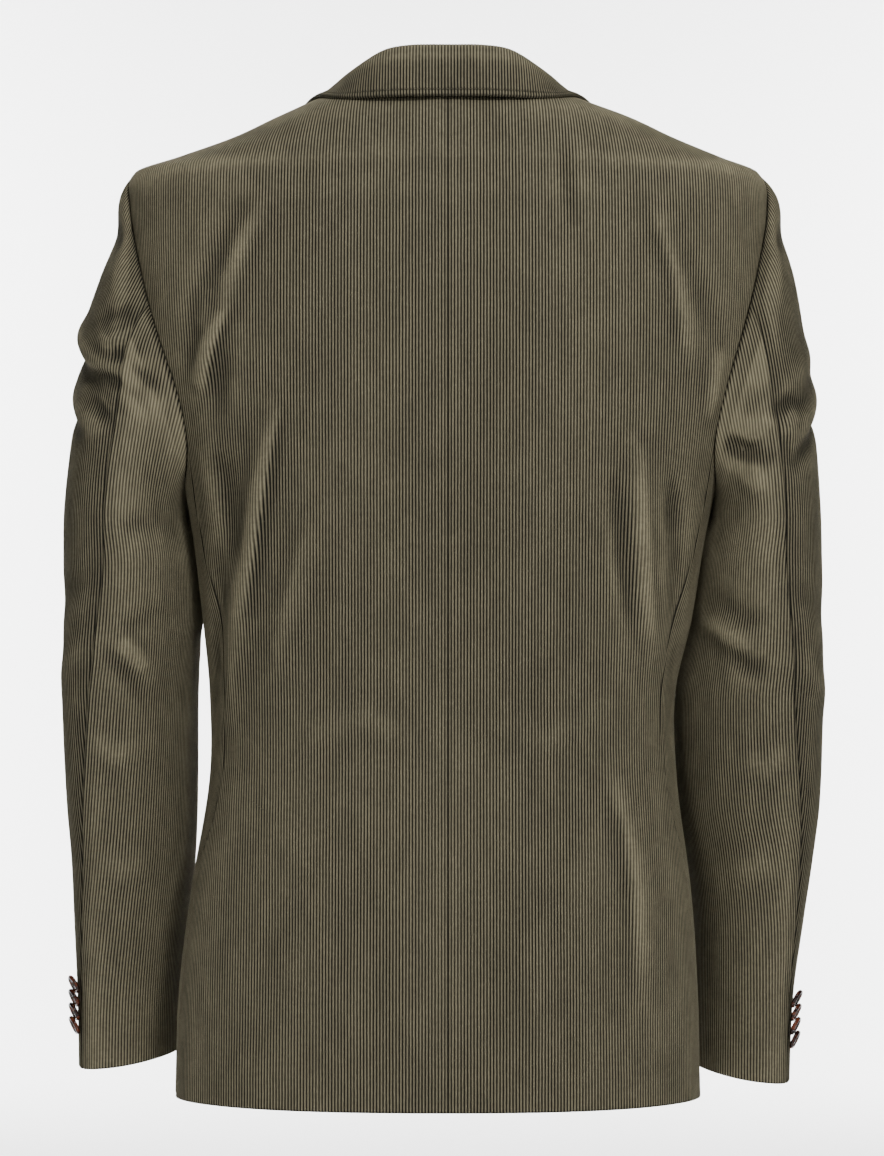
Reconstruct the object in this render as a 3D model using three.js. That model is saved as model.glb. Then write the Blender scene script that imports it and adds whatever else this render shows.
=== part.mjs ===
// A corduroy jacket, filled out as if worn, with nobody in it. Sizes are in mm.
// +Z is up, +X is the wearer's left and -Y is the front. The origin is the middle of the neck
// opening, level with the seam at the back of the neck. Each panel is a wall over a body of
// horizontal sections, cut along the lines where a tailor would cut and sew it.
import * as THREE from "three";

// Cloth
const WALL = 2;
const SEAM = 0.3;
const LAYER = 0.35;

// Lengths and heights
const HEM_Z = -735;
const WAIST_TOP_Z = -310;
const NECK_Z = 6;
const NECK_HALF_WIDTH = 78;
const SHOULDER_Z = -56;

// Armhole, an egg seen from the side
const ARMHOLE_BOTTOM_Z = -291;
const ARMHOLE_JOIN_Z = -262;
const ARMHOLE_HALF_WIDTH = 58;
const ARMHOLE_TAPER = 0.45;
const ARMHOLE_Y = -2;
const ARMHOLE_CLEAR = 0.9;
const FLOOR_DROP = 1;
const ARMHOLE_INSET = 0.6;

// Front edge, buttons and lapel
const EDGE_OVERLAP = 18;
const BREAK_Z = -400;
const CROSS_Z = -318;
const CUTAWAY_Z = -545;
const CUTAWAY_WIDTH = 92;
const LAP_FADE = 60;
const FRONT_BUTTON = { radius: 10, thickness: 4 };
const FRONT_BUTTON_Z = [-418, -528];
const LAPEL_TIP = { x: 140, z: -96 };
const GORGE = { x: 66, z: -54 };
const LAPEL_BELLY = 7;
const LAPEL_HIDDEN_Z = -352;
const LAPEL_CLEAR = 3;
const LAPEL_ROLL = 3.5;

// Vents between the back and side panels
const VENT_Z = -522;
const VENT_LAP = 8;
const VENT_RAMP = 40;

// Sleeves
const CUFF_Z = { left: -721, right: -732 };
const CUFF_SLANT = 13;
const CUFF_SLIT_Z = -622;
const CUFF_CORNER = 9;
const CUFF_NOTCH = 5;
const SLEEVE_POWER = 2.15;
const SLEEVE_RADIUS = 54;
const SLEEVE_TURN = 0.26;
const FOREARM_SEAM = -140;
const HIND_SEAM_TOP = 9;
const CURVED_GAP = 5;
const CUFF_BUTTON = { radius: 7.5, thickness: 3 };
const CUFF_BUTTONS = 4;
const CUFF_BUTTON_RISE = 34;
const CUFF_BUTTON_IN = 0.12;
const CUFF_BUTTON_PITCH = 10.4;
const CUFF_BUTTON_LEAN = 20;

const CORDUROY = 0x6f6650;
const LINED = 0x5c543f;
const HORN = 0x4a2315;

// One row for each horizontal section of the body: its height, the half widths to the wearer's
// left and right, the depths behind and in front of its middle, where that middle is, and the
// power of its rounded outline, behind and in front.
const BODY = [
  { z: 8, left: 74, right: 74, back: 56, front: 56, mid: 2, backPower: 2, frontPower: 2 },
  { z: -2, left: 97, right: 98, back: 65, front: 62, mid: 1, backPower: 2, frontPower: 2 },
  { z: -16, left: 128, right: 136, back: 76, front: 70, mid: 0, backPower: 2.05, frontPower: 2 },
  { z: -31, left: 160, right: 168, back: 86, front: 78, mid: -1, backPower: 2.1, frontPower: 2.05 },
  { z: -46, left: 202, right: 204, back: 94, front: 86, mid: -1, backPower: 2.15, frontPower: 2.1 },
  { z: -56, left: 231, right: 229, back: 99, front: 91, mid: -2, backPower: 2.2, frontPower: 2.15 },
  { z: -80, left: 236, right: 237, back: 107, front: 102, mid: -2, backPower: 2.35, frontPower: 2.2 },
  { z: -132, left: 233, right: 235, back: 116, front: 120, mid: -2, backPower: 2.5, frontPower: 2.3 },
  { z: -181, left: 227, right: 230, back: 119, front: 131, mid: -2, backPower: 2.5, frontPower: 2.35 },
  { z: -225, left: 215, right: 220, back: 118, front: 136, mid: -2, backPower: 2.45, frontPower: 2.4 },
  { z: -275, left: 198, right: 202, back: 113, front: 136, mid: -2, backPower: 2.4, frontPower: 2.4 },
  { z: -320, left: 189, right: 191, back: 107, front: 133, mid: -3, backPower: 2.4, frontPower: 2.4 },
  { z: -386, left: 181, right: 180, back: 100, front: 129, mid: -4, backPower: 2.4, frontPower: 2.4 },
  { z: -440, left: 176, right: 168, back: 98, front: 128, mid: -5, backPower: 2.4, frontPower: 2.4 },
  { z: -500, left: 176, right: 169, back: 103, front: 129, mid: -5, backPower: 2.4, frontPower: 2.4 },
  { z: -586, left: 190, right: 180, back: 115, front: 132, mid: -4, backPower: 2.4, frontPower: 2.35 },
  { z: -660, left: 199, right: 185, back: 121, front: 134, mid: -3, backPower: 2.4, frontPower: 2.3 },
  { z: -740, left: 202, right: 187, back: 124, front: 135, mid: -3, backPower: 2.4, frontPower: 2.3 },
];

// Where the side panel's two seams run, as a share of the way from centre back to the side and
// from centre front to the side.
const SIDE_SEAMS = [
  { z: -310, back: 0.79, front: 0.74 },
  { z: -440, back: 0.775, front: 0.74 },
  { z: -560, back: 0.81, front: 0.75 },
  { z: -740, back: 0.845, front: 0.77 },
];

// One row for each section of a sleeve: its height, how far its outer and inner sides stand from
// the middle of the body on the left and the right, half its depth, the place of its middle from
// front to back, and the angle of the seam behind the arm, from straight back towards outside.
const SLEEVE = [
  { z: -50, left: 246, right: 246, inLeft: 159, inRight: 159, halfDepth: 58, mid: -2, hind: 9 },
  { z: -100, left: 244.5, right: 247, inLeft: 161, inRight: 163, halfDepth: 62, mid: -2, hind: 9 },
  { z: -135, left: 257, right: 256, inLeft: 170, inRight: 169, halfDepth: 65, mid: -2, hind: 9 },
  { z: -170, left: 268, right: 262, inLeft: 178, inRight: 176, halfDepth: 67, mid: -1, hind: 9 },
  { z: -225, left: 274, right: 269, inLeft: 188, inRight: 187, halfDepth: 68, mid: 0, hind: 9 },
  { z: -300, left: 282.5, right: 274.6, inLeft: 200, inRight: 200, halfDepth: 66, mid: 2, hind: 9 },
  { z: -345, left: 282.8, right: 275.2, inLeft: 191, inRight: 191, halfDepth: 64, mid: 1, hind: 9 },
  { z: -410, left: 282.2, right: 275.4, inLeft: 186, inRight: 179, halfDepth: 63, mid: -8, hind: 11 },
  { z: -445, left: 283.3, right: 275.9, inLeft: 187, inRight: 173, halfDepth: 62, mid: -14, hind: 13 },
  { z: -519, left: 281.5, right: 275, inLeft: 188, inRight: 172, halfDepth: 58, mid: -27, hind: 24 },
  { z: -563, left: 278.7, right: 270.4, inLeft: 190, inRight: 178, halfDepth: 55, mid: -35, hind: 30 },
  { z: -608, left: 277.5, right: 264.4, inLeft: 194, inRight: 182, halfDepth: 53, mid: -43, hind: 35 },
  { z: -667, left: 276, right: 257.4, inLeft: 198, inRight: 182, halfDepth: 51, mid: -54, hind: 42 },
  { z: -745, left: 276, right: 255.5, inLeft: 199, inRight: 181, halfDepth: 50, mid: -68, hind: 47 },
];

// The largest folds of the body: a line from one place to another, each a distance round the
// body from centre back and a height, with its half width and how far it stands out.
const BODY_FOLDS = [
  { side: 1, u1: 150, z1: -92, u2: 196, z2: -190, width: 13, out: -3.2 },
  { side: 1, u1: 178, z1: -150, u2: 188, z2: -212, width: 7, out: 2.2 },
  { side: 1, u1: 140, z1: -292, u2: 172, z2: -455, width: 12, out: 3.4 },
  { side: 1, u1: 172, z1: -325, u2: 192, z2: -440, width: 11, out: -3.2 },
  { side: 1, u1: 120, z1: -560, u2: 142, z2: -690, width: 22, out: -1.8 },
  { side: -1, u1: 158, z1: -110, u2: 205, z2: -185, width: 14, out: -2.6 },
  { side: -1, u1: 204, z1: -192, u2: 200, z2: -238, width: 8, out: 2.4 },
  { side: -1, u1: 148, z1: -272, u2: 158, z2: -385, width: 12, out: 2.8 },
  { side: -1, u1: 176, z1: -300, u2: 182, z2: -430, width: 11, out: -3 },
  { side: -1, u1: 118, z1: -580, u2: 128, z2: -700, width: 20, out: -1.6 },
];

// The same for the sleeves, with the distance measured round the sleeve from straight outside,
// to the back and then forwards.
const SLEEVE_FOLDS = [
  { side: 1, u1: -20, z1: -160, u2: 62, z2: -204, width: 9, out: 4.6 },
  { side: 1, u1: -26, z1: -176, u2: 66, z2: -223, width: 8, out: -4.6 },
  { side: 1, u1: -24, z1: -204, u2: 60, z2: -249, width: 10, out: 3.4 },
  { side: 1, u1: -30, z1: -217, u2: 40, z2: -251, width: 8, out: -3 },
  { side: 1, u1: 6, z1: -96, u2: 40, z2: -112, width: 9, out: -2.2 },
  { side: 1, u1: 10, z1: -372, u2: 78, z2: -352, width: 14, out: -2.4 },
  { side: 1, u1: 20, z1: -430, u2: 82, z2: -398, width: 13, out: 2 },
  { side: 1, u1: -80, z1: -392, u2: -20, z2: -372, width: 13, out: -2.6 },
  { side: -1, u1: -22, z1: -176, u2: 60, z2: -215, width: 10, out: 2.4 },
  { side: -1, u1: -26, z1: -201, u2: 62, z2: -255, width: 10, out: 3.6 },
  { side: -1, u1: -28, z1: -218, u2: 64, z2: -272, width: 8, out: -4.2 },
  { side: -1, u1: 4, z1: -98, u2: 38, z2: -114, width: 9, out: -2.2 },
  { side: -1, u1: 14, z1: -384, u2: 80, z2: -362, width: 14, out: -2.2 },
  { side: -1, u1: 16, z1: -446, u2: 80, z2: -410, width: 13, out: 2 },
  { side: -1, u1: -80, z1: -400, u2: -20, z2: -380, width: 13, out: -2.6 },
];

// One row for each station of the collar, from centre back to the front end: the fold at its
// top and the lower edge of its fall, as width, depth and height, with the neck seam inside.
const COLLAR = [
  { fold: [0, 56, 32.3], edge: [0, 76, -7], seam: [0, 61, -1] },
  { fold: [26, 54.5, 32.2], edge: [32, 75, -7], seam: [28, 59, 0] },
  { fold: [45, 47, 30], edge: [62, 63, -7], seam: [52, 46, 2] },
  { fold: [59, 31, 23.5], edge: [84, 42, -6], seam: [66, 29, 4] },
  { fold: [69, 8, 15.5], edge: [99, 8, -3], seam: [72, 6, 6] },
  { fold: [74, -21, 10], edge: [113, -27, -8], seam: [69, -18, 3] },
  { fold: [75, -46, 2], edge: [123, -54, -27], seam: [65, -36, -5] },
  { fold: [70, -70, -17], edge: [127, -74, -46], seam: [60, -57, -24] },
  { fold: [66, -88, -43], edge: [108, -98, -73], seam: [58, -73, -44] },
];

const SECTION_STEPS = 160;
const BACK_COLUMNS = 8;
const FRONT_COLUMNS = 8;
const SIDE_COLUMNS = 6;
const TOP_SLEEVE_COLUMNS = 12;
const UNDER_SLEEVE_COLUMNS = 12;
const LAPEL_COLUMNS = 5;
const COLLAR_STATIONS = 16;
const FALL_STEPS = 5;
const BUTTON_SIDES = 14;

const armholeMiddleZ = (SHOULDER_Z + ARMHOLE_BOTTOM_Z) / 2;
const armholeHalfHeight = (SHOULDER_Z - ARMHOLE_BOTTOM_Z) / 2;
const radians = (degrees) => (degrees * Math.PI) / 180;
const clamp = (value, low, high) => Math.min(high, Math.max(low, value));
const mix = (a, b, share) => a + (b - a) * share;

function smooth(low, high, value) {
  const t = clamp((value - low) / (high - low), 0, 1);
  return t * t * (3 - 2 * t);
}

// A smooth curve through one column of a table whose rows go down in height.
function column(table, name, z) {
  const at = clamp(z, table[table.length - 1].z, table[0].z);
  let i = 0;
  while (i < table.length - 2 && at < table[i + 1].z) i += 1;
  const slope = (k) => {
    const a = table[Math.max(0, k - 1)];
    const b = table[Math.min(table.length - 1, k + 1)];
    return (b[name] - a[name]) / (b.z - a.z);
  };
  const p = table[i];
  const q = table[i + 1];
  const step = q.z - p.z;
  const t = (at - p.z) / step;
  const t2 = t * t;
  const t3 = t2 * t;
  return (2 * t3 - 3 * t2 + 1) * p[name] + (t3 - 2 * t2 + t) * step * slope(i)
    + (3 * t2 - 2 * t3) * q[name] + (t3 - t2) * step * slope(i + 1);
}

const row = (table, z) => {
  const found = {};
  for (const name of Object.keys(table[0])) found[name] = column(table, name, z);
  return found;
};

// A quarter of a rounded outline, from its middle (u = 0) to its side (u = length).
function quarter(half, depth, power) {
  const lengths = [0];
  const place = (t) => [half * Math.sin(t) ** (2 / power), depth * Math.cos(t) ** (2 / power)];
  let last = place(0);
  for (let i = 1; i <= SECTION_STEPS; i += 1) {
    const next = place((i / SECTION_STEPS) * (Math.PI / 2));
    lengths.push(lengths[i - 1] + Math.hypot(next[0] - last[0], next[1] - last[1]));
    last = next;
  }
  return { half, depth, power, lengths, length: lengths[SECTION_STEPS] };
}

function quarterPoint(curve, u) {
  const at = clamp(u, 0, curve.length);
  let low = 0;
  let high = SECTION_STEPS;
  while (high - low > 1) {
    const middle = (low + high) >> 1;
    if (curve.lengths[middle] > at) high = middle;
    else low = middle;
  }
  const share = (at - curve.lengths[low]) / (curve.lengths[high] - curve.lengths[low]);
  const t = ((low + share) / SECTION_STEPS) * (Math.PI / 2);
  const x = curve.half * Math.sin(t) ** (2 / curve.power);
  return [x, curve.depth * Math.max(0, Math.cos(t)) ** (2 / curve.power)];
}

const sections = new Map();

function section(side, z) {
  const key = `${side} ${z}`;
  if (!sections.has(key)) {
    const r = row(BODY, z);
    const half = side > 0 ? r.left : r.right;
    sections.set(key, {
      mid: r.mid,
      back: quarter(half, r.back, r.backPower),
      front: quarter(half, r.front, r.frontPower),
    });
  }
  return sections.get(key);
}

// A place on the body: u runs from centre back (0) round the side to centre front.
function bodyPoint(side, u, z) {
  const s = section(side, z);
  if (u <= s.back.length) {
    const [x, y] = quarterPoint(s.back, Math.abs(u));
    return new THREE.Vector3(side * Math.sign(u || 1) * x, s.mid + y, z);
  }
  const left = s.back.length + s.front.length - u;
  const [x, y] = quarterPoint(s.front, Math.abs(left));
  return new THREE.Vector3(side * Math.sign(left || 1) * x, s.mid - y, z);
}

function roundLength(side, z) {
  const s = section(side, z);
  return s.back.length + s.front.length;
}

// The distance round a quarter at which it is so deep, or so wide.
function lengthAtDepth(curve, depth) {
  const t = Math.acos(clamp(depth / curve.depth, 0, 1) ** (curve.power / 2));
  return lengthAtAngle(curve, t);
}

function lengthAtWidth(curve, width) {
  const t = Math.asin(clamp(width / curve.half, 0, 1) ** (curve.power / 2));
  return lengthAtAngle(curve, t);
}

function lengthAtAngle(curve, t) {
  const place = (t / (Math.PI / 2)) * SECTION_STEPS;
  const low = Math.min(SECTION_STEPS - 1, Math.floor(place));
  return mix(curve.lengths[low], curve.lengths[low + 1], place - low);
}

// How far the folds push a place out.
function foldsAt(folds, side, u, z) {
  let out = 0;
  for (const f of folds) {
    if (f.side !== side) continue;
    const du = f.u2 - f.u1;
    const dz = f.z2 - f.z1;
    const along = ((u - f.u1) * du + (z - f.z1) * dz) / (du * du + dz * dz);
    const near = clamp(along, 0, 1);
    const away = Math.hypot(u - f.u1 - near * du, z - f.z1 - near * dz);
    const fade = Math.sin(Math.PI * clamp(0.12 + 0.76 * along, 0, 1));
    out += f.out * fade * Math.exp(-((away / f.width) ** 2));
  }
  return out;
}

function normalOf(surface, u, z) {
  const step = 0.5;
  const du = surface(u + step, z).sub(surface(u - step, z));
  const dz = surface(u, z + step).sub(surface(u, z - step));
  return du.cross(dz).normalize();
}

function bodyNormal(side, u, z) {
  return normalOf((a, b) => bodyPoint(side, a, b), u, z).multiplyScalar(-side);
}

// The outer face of a body panel: the body, its folds, and what the panel is lifted by.
function bodyCloth(side, u, z, lift) {
  const out = foldsAt(BODY_FOLDS, side, u, z) + lift;
  return bodyPoint(side, u, z).addScaledVector(bodyNormal(side, u, z), out);
}

// Armhole: half its width at a height, behind (+1) or in front (-1).
function armholeDepth(z) {
  const up = clamp((z - armholeMiddleZ) / armholeHalfHeight, -1, 1);
  return ARMHOLE_HALF_WIDTH * Math.sqrt(1 - up * up) * (1 - ARMHOLE_TAPER * up);
}

function armholeBack(side, z) {
  const s = section(side, z);
  return lengthAtDepth(s.back, ARMHOLE_Y + armholeDepth(z) - s.mid);
}

function armholeFront(side, z) {
  const s = section(side, z);
  const depth = s.mid - (ARMHOLE_Y - armholeDepth(z));
  return s.back.length + s.front.length - lengthAtDepth(s.front, depth);
}

// Seams of the side panel, as distances round the body from centre back.
function backSeam(side, z) {
  const s = section(side, z);
  const low = column(SIDE_SEAMS, "back", z) * s.back.length;
  const high = armholeBack(side, Math.max(z, ARMHOLE_JOIN_Z));
  return mix(low, high, smooth(-400, ARMHOLE_JOIN_Z, z));
}

function frontSeam(side, z) {
  const s = section(side, z);
  const low = s.back.length + s.front.length * (1 - column(SIDE_SEAMS, "front", z));
  const high = armholeFront(side, Math.max(z, ARMHOLE_JOIN_Z));
  return mix(low, high, smooth(-400, ARMHOLE_JOIN_Z, z));
}

// Heights of the rows that neighbouring panels share.
function heights() {
  const rows = [];
  const add = (from, to, count) => {
    for (let i = 0; i < count; i += 1) rows.push(mix(from, to, i / count));
  };
  for (let i = 0; i < 8; i += 1) rows.push(mix(HEM_Z, VENT_Z, (i / 8) ** 1.6));
  add(VENT_Z, WAIST_TOP_Z, 9);
  add(WAIST_TOP_Z, ARMHOLE_JOIN_Z, 3);
  add(ARMHOLE_JOIN_Z, SHOULDER_Z, 12);
  add(SHOULDER_Z, NECK_Z, 8);
  rows.push(NECK_Z);
  return rows;
}

// A closed wall from a grid of outer points and how far each is carried inwards.
function wall(outer, inner) {
  const rows = outer.length;
  const columns = outer[0].length;
  const positions = [];
  for (const grid of [outer, inner]) {
    for (const line of grid) for (const p of line) positions.push(p.x, p.y, p.z);
  }
  const faces = [];
  const index = (layer, j, i) => layer * rows * columns + j * columns + i;
  const quad = (a, b, c, d) => faces.push(a, b, c, a, c, d);
  for (let j = 0; j < rows - 1; j += 1) {
    for (let i = 0; i < columns - 1; i += 1) {
      quad(index(0, j, i), index(0, j, i + 1), index(0, j + 1, i + 1), index(0, j + 1, i));
      quad(index(1, j, i), index(1, j + 1, i), index(1, j + 1, i + 1), index(1, j, i + 1));
    }
  }
  for (let i = 0; i < columns - 1; i += 1) {
    quad(index(0, 0, i), index(1, 0, i), index(1, 0, i + 1), index(0, 0, i + 1));
    quad(index(0, rows - 1, i), index(0, rows - 1, i + 1), index(1, rows - 1, i + 1),
      index(1, rows - 1, i));
  }
  for (let j = 0; j < rows - 1; j += 1) {
    quad(index(0, j, 0), index(0, j + 1, 0), index(1, j + 1, 0), index(1, j, 0));
    quad(index(0, j, columns - 1), index(1, j, columns - 1), index(1, j + 1, columns - 1),
      index(0, j + 1, columns - 1));
  }
  const geometry = new THREE.BufferGeometry();
  geometry.setAttribute("position", new THREE.Float32BufferAttribute(positions, 3));
  geometry.setIndex(faces);
  if (volume(geometry) < 0) geometry.setIndex(flip(faces));
  geometry.computeVertexNormals();
  return geometry;
}

function flip(faces) {
  const turned = [];
  for (let i = 0; i < faces.length; i += 3) turned.push(faces[i], faces[i + 2], faces[i + 1]);
  return turned;
}

function volume(geometry) {
  const p = geometry.getAttribute("position");
  const index = geometry.getIndex();
  const a = new THREE.Vector3();
  const b = new THREE.Vector3();
  const c = new THREE.Vector3();
  let total = 0;
  for (let i = 0; i < index.count; i += 3) {
    a.fromBufferAttribute(p, index.getX(i));
    b.fromBufferAttribute(p, index.getX(i + 1));
    c.fromBufferAttribute(p, index.getX(i + 2));
    total += a.dot(b.cross(c)) / 6;
  }
  return total;
}

// A panel whose rows run across between two lines, with its cloth and its inward direction.
function panel(rows, columns, place, inward) {
  const outer = [];
  const inner = [];
  rows.forEach((r, j) => {
    outer.push([]);
    inner.push([]);
    for (let i = 0; i <= columns; i += 1) {
      const [u, z] = place(r, i / columns);
      const [point, normal] = inward(u, z);
      outer[j].push(point);
      inner[j].push(point.clone().addScaledVector(normal, -WALL));
    }
  });
  return wall(outer, inner);
}

// A place across a panel whose last column, at its lapped edge, has a width of its own.
function banded(start, inner, end, columns, share) {
  const last = 1 - 1 / columns;
  if (share > last) return mix(inner, end, (share - last) * columns);
  return mix(start, inner, share / last);
}

// How far the two layers of a lap stand apart, from its edge to where they are one surface.
const lapLift = (away, fade) => (WALL / 2 + LAYER) * (1 - smooth(fade * 0.35, fade, away));

const ventRamp = (z) => 1 - smooth(VENT_Z - VENT_RAMP, VENT_Z, z);
const ventLift = (z) => 1 - smooth(VENT_Z, VENT_Z + VENT_RAMP, z);

function backPanel(side) {
  const across = (z, share) => {
    const s = section(side, z);
    let start = SEAM / 2;
    if (z > 0) {
      const x = NECK_HALF_WIDTH * Math.sqrt(z / NECK_Z);
      start = Math.min(lengthAtWidth(s.back, x), s.back.length - 4);
    }
    let end = s.back.length;
    if (z < ARMHOLE_JOIN_Z) end = backSeam(side, z) + VENT_LAP * ventRamp(z);
    else if (z < SHOULDER_Z) end = armholeBack(side, z);
    end -= SEAM / 2;
    if (z >= ARMHOLE_JOIN_Z) return [mix(start, end, share), z];
    return [banded(start, backSeam(side, z) - VENT_LAP, end, BACK_COLUMNS, share), z];
  };
  const cloth = (u, z) => {
    const away = Math.abs(backSeam(side, z) + VENT_LAP - u);
    const lift = lapLift(away, LAP_FADE) * ventLift(z);
    return [bodyCloth(side, u, z, lift), bodyNormal(side, u, z)];
  };
  return panel(heights(), BACK_COLUMNS, across, cloth);
}

function sidePanel(side) {
  const rows = heights().filter((z) => z <= ARMHOLE_JOIN_Z + SEAM);
  const across = (z, share) => {
    const start = backSeam(side, z) + SEAM / 2 - VENT_LAP * ventRamp(z);
    const end = frontSeam(side, z) - SEAM / 2;
    const u = banded(end, backSeam(side, z) + VENT_LAP, start, SIDE_COLUMNS, 1 - share);
    if (z <= WAIST_TOP_Z) return [u, z];
    const top = armholeFloor(side, u) - 4 * FLOOR_DROP * share * (1 - share);
    return [u, mix(WAIST_TOP_Z, top, (z - WAIST_TOP_Z) / (ARMHOLE_JOIN_Z - WAIST_TOP_Z))];
  };
  const cloth = (u, z) => {
    const away = Math.abs(u - (backSeam(side, z) - VENT_LAP));
    const lift = -lapLift(away, LAP_FADE) * ventLift(z);
    return [bodyCloth(side, u, z, lift), bodyNormal(side, u, z)];
  };
  return panel(rows, SIDE_COLUMNS, across, cloth);
}

// The height of the armhole's lower edge at a distance round the body.
function armholeFloor(side, u) {
  let low = ARMHOLE_BOTTOM_Z;
  let high = ARMHOLE_JOIN_Z;
  const inside = (z) => u > armholeBack(side, z) && u < armholeFront(side, z);
  if (!inside(high)) return high;
  for (let i = 0; i < 24; i += 1) {
    const z = (low + high) / 2;
    if (inside(z)) high = z;
    else low = z;
  }
  return high;
}

// The roll line, where the front turns over into the lapel, as a distance from centre front.
function rollWidth(z) {
  const share = (z - BREAK_Z) / (NECK_Z - BREAK_Z);
  return mix(-EDGE_OVERLAP, NECK_HALF_WIDTH - 1, share);
}

function fromFront(side, x, z) {
  const length = lengthAtWidth(section(side, z).front, Math.abs(x));
  return x < 0 ? -length : length;
}

function frontEdge(side, z) {
  if (z >= BREAK_Z) return fromFront(side, rollWidth(z), z);
  if (z >= CUTAWAY_Z) return -EDGE_OVERLAP;
  const down = (CUTAWAY_Z - z) / (CUTAWAY_Z - HEM_Z);
  return mix(-EDGE_OVERLAP, CUTAWAY_WIDTH, 1 - Math.sqrt(Math.max(0, 1 - down ** 2.2)));
}

// The left front laps over the right one.
function frontLift(side, u, z) {
  const away = roundLength(side, z) + EDGE_OVERLAP - u;
  const open = 1 - smooth(CROSS_Z, CROSS_Z + VENT_RAMP, z);
  return side * lapLift(away, EDGE_OVERLAP + LAP_FADE) * open;
}

function frontPanel(side) {
  const across = (z, share) => {
    const s = section(side, z);
    const whole = roundLength(side, z);
    let start = s.back.length;
    if (z < ARMHOLE_JOIN_Z) start = frontSeam(side, z);
    else if (z < SHOULDER_Z) start = armholeFront(side, z);
    const end = Math.max(whole - frontEdge(side, z), start + 4);
    start += SEAM / 2;
    const inner = Math.min(whole - EDGE_OVERLAP, mix(start, end, 1 - 1 / FRONT_COLUMNS));
    return [banded(start, inner, end, FRONT_COLUMNS, share), z];
  };
  const cloth = (u, z) => [bodyCloth(side, u, z, frontLift(side, u, z)), bodyNormal(side, u, z)];
  return panel(heights(), FRONT_COLUMNS, across, cloth);
}

// The lapel lies on its front, from the roll line outwards.
function lapelWidth(z) {
  if (z > LAPEL_TIP.z) {
    return mix(LAPEL_TIP.x, GORGE.x, (z - LAPEL_TIP.z) / (GORGE.z - LAPEL_TIP.z));
  }
  const up = (z - BREAK_Z) / (LAPEL_TIP.z - BREAK_Z);
  return mix(-EDGE_OVERLAP, LAPEL_TIP.x, up) + LAPEL_BELLY * Math.sin(Math.PI * up);
}

function lapelPiece(side) {
  const rows = [];
  const count = 14;
  const foot = side > 0 ? BREAK_Z + 6 : LAPEL_HIDDEN_Z;
  for (let i = 0; i <= count; i += 1) rows.push(mix(foot, LAPEL_TIP.z, i / count));
  for (let i = 1; i <= 4; i += 1) rows.push(mix(LAPEL_TIP.z, GORGE.z - 3, i / 4));
  const across = (z, share) => {
    const whole = roundLength(side, z);
    const fold = side > 0 ? rollWidth(z) : Math.max(rollWidth(z), LAPEL_CLEAR - rollWidth(z));
    const roll = fromFront(side, fold, z);
    const tip = fromFront(side, Math.max(lapelWidth(z), fold + 3), z);
    return [whole - mix(roll - 1, tip, share), z];
  };
  const cloth = (u, z) => {
    const roll = roundLength(side, z) - fromFront(side, rollWidth(z), z);
    const away = roll - u;
    const lift = WALL + LAYER + LAPEL_ROLL * Math.exp(-((away / 16) ** 2)) + frontLift(side, u, z);
    return [bodyCloth(side, u, z, lift), bodyNormal(side, u, z)];
  };
  return panel(rows, LAPEL_COLUMNS, across, cloth);
}

// Collar: stand, fold and fall in one strip, laid round the neck.
function collarRow(share) {
  const place = Math.abs(share) * (COLLAR.length - 1);
  const i = Math.min(COLLAR.length - 2, Math.floor(place));
  const t = place - i;
  const sharp = i === COLLAR.length - 2;
  const curve = (name, axis) => {
    const p1 = COLLAR[i][name][axis];
    const p2 = COLLAR[i + 1][name][axis];
    if (sharp) return mix(p1, p2, t);
    const mirrored = axis === 0 ? -COLLAR[1][name][axis] : COLLAR[1][name][axis];
    const p0 = i > 0 ? COLLAR[i - 1][name][axis] : mirrored;
    const p3 = i + 2 < COLLAR.length - 1 ? COLLAR[i + 2][name][axis] : 2 * p2 - p1;
    return 0.5 * (2 * p1 + (p2 - p0) * t + (2 * p0 - 5 * p1 + 4 * p2 - p3) * t * t
      + (3 * p1 - p0 - 3 * p2 + p3) * t * t * t);
  };
  const vector = (name) => new THREE.Vector3(
    curve(name, 0) * Math.sign(share || 1),
    curve(name, 1),
    curve(name, 2),
  );
  return { fold: vector("fold"), edge: vector("edge"), seam: vector("seam") };
}

// How far a point lies outside the body, and which way is out.
function bodySize(p) {
  const r = row(BODY, p.z);
  const half = p.x > 0 ? r.left : r.right;
  const behind = p.y > r.mid;
  const depth = behind ? r.back : r.front;
  const power = behind ? r.backPower : r.frontPower;
  const across = (Math.abs(p.x) / half) ** power;
  return (across + (Math.abs(p.y - r.mid) / depth) ** power) ** (1 / power) - 1;
}

function clearOfBody(start, gap) {
  const p = start.clone();
  if (p.z > NECK_Z + 6) return p;
  const step = 0.5;
  for (let i = 0; i < 6; i += 1) {
    const slope = new THREE.Vector3();
    for (const axis of ["x", "y", "z"]) {
      const more = p.clone();
      const less = p.clone();
      more[axis] += step;
      less[axis] -= step;
      slope[axis] = (bodySize(more) - bodySize(less)) / (2 * step);
    }
    const away = bodySize(p) / slope.length();
    if (away >= gap) return p;
    p.addScaledVector(slope.normalize(), gap - away);
  }
  return p;
}

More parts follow.
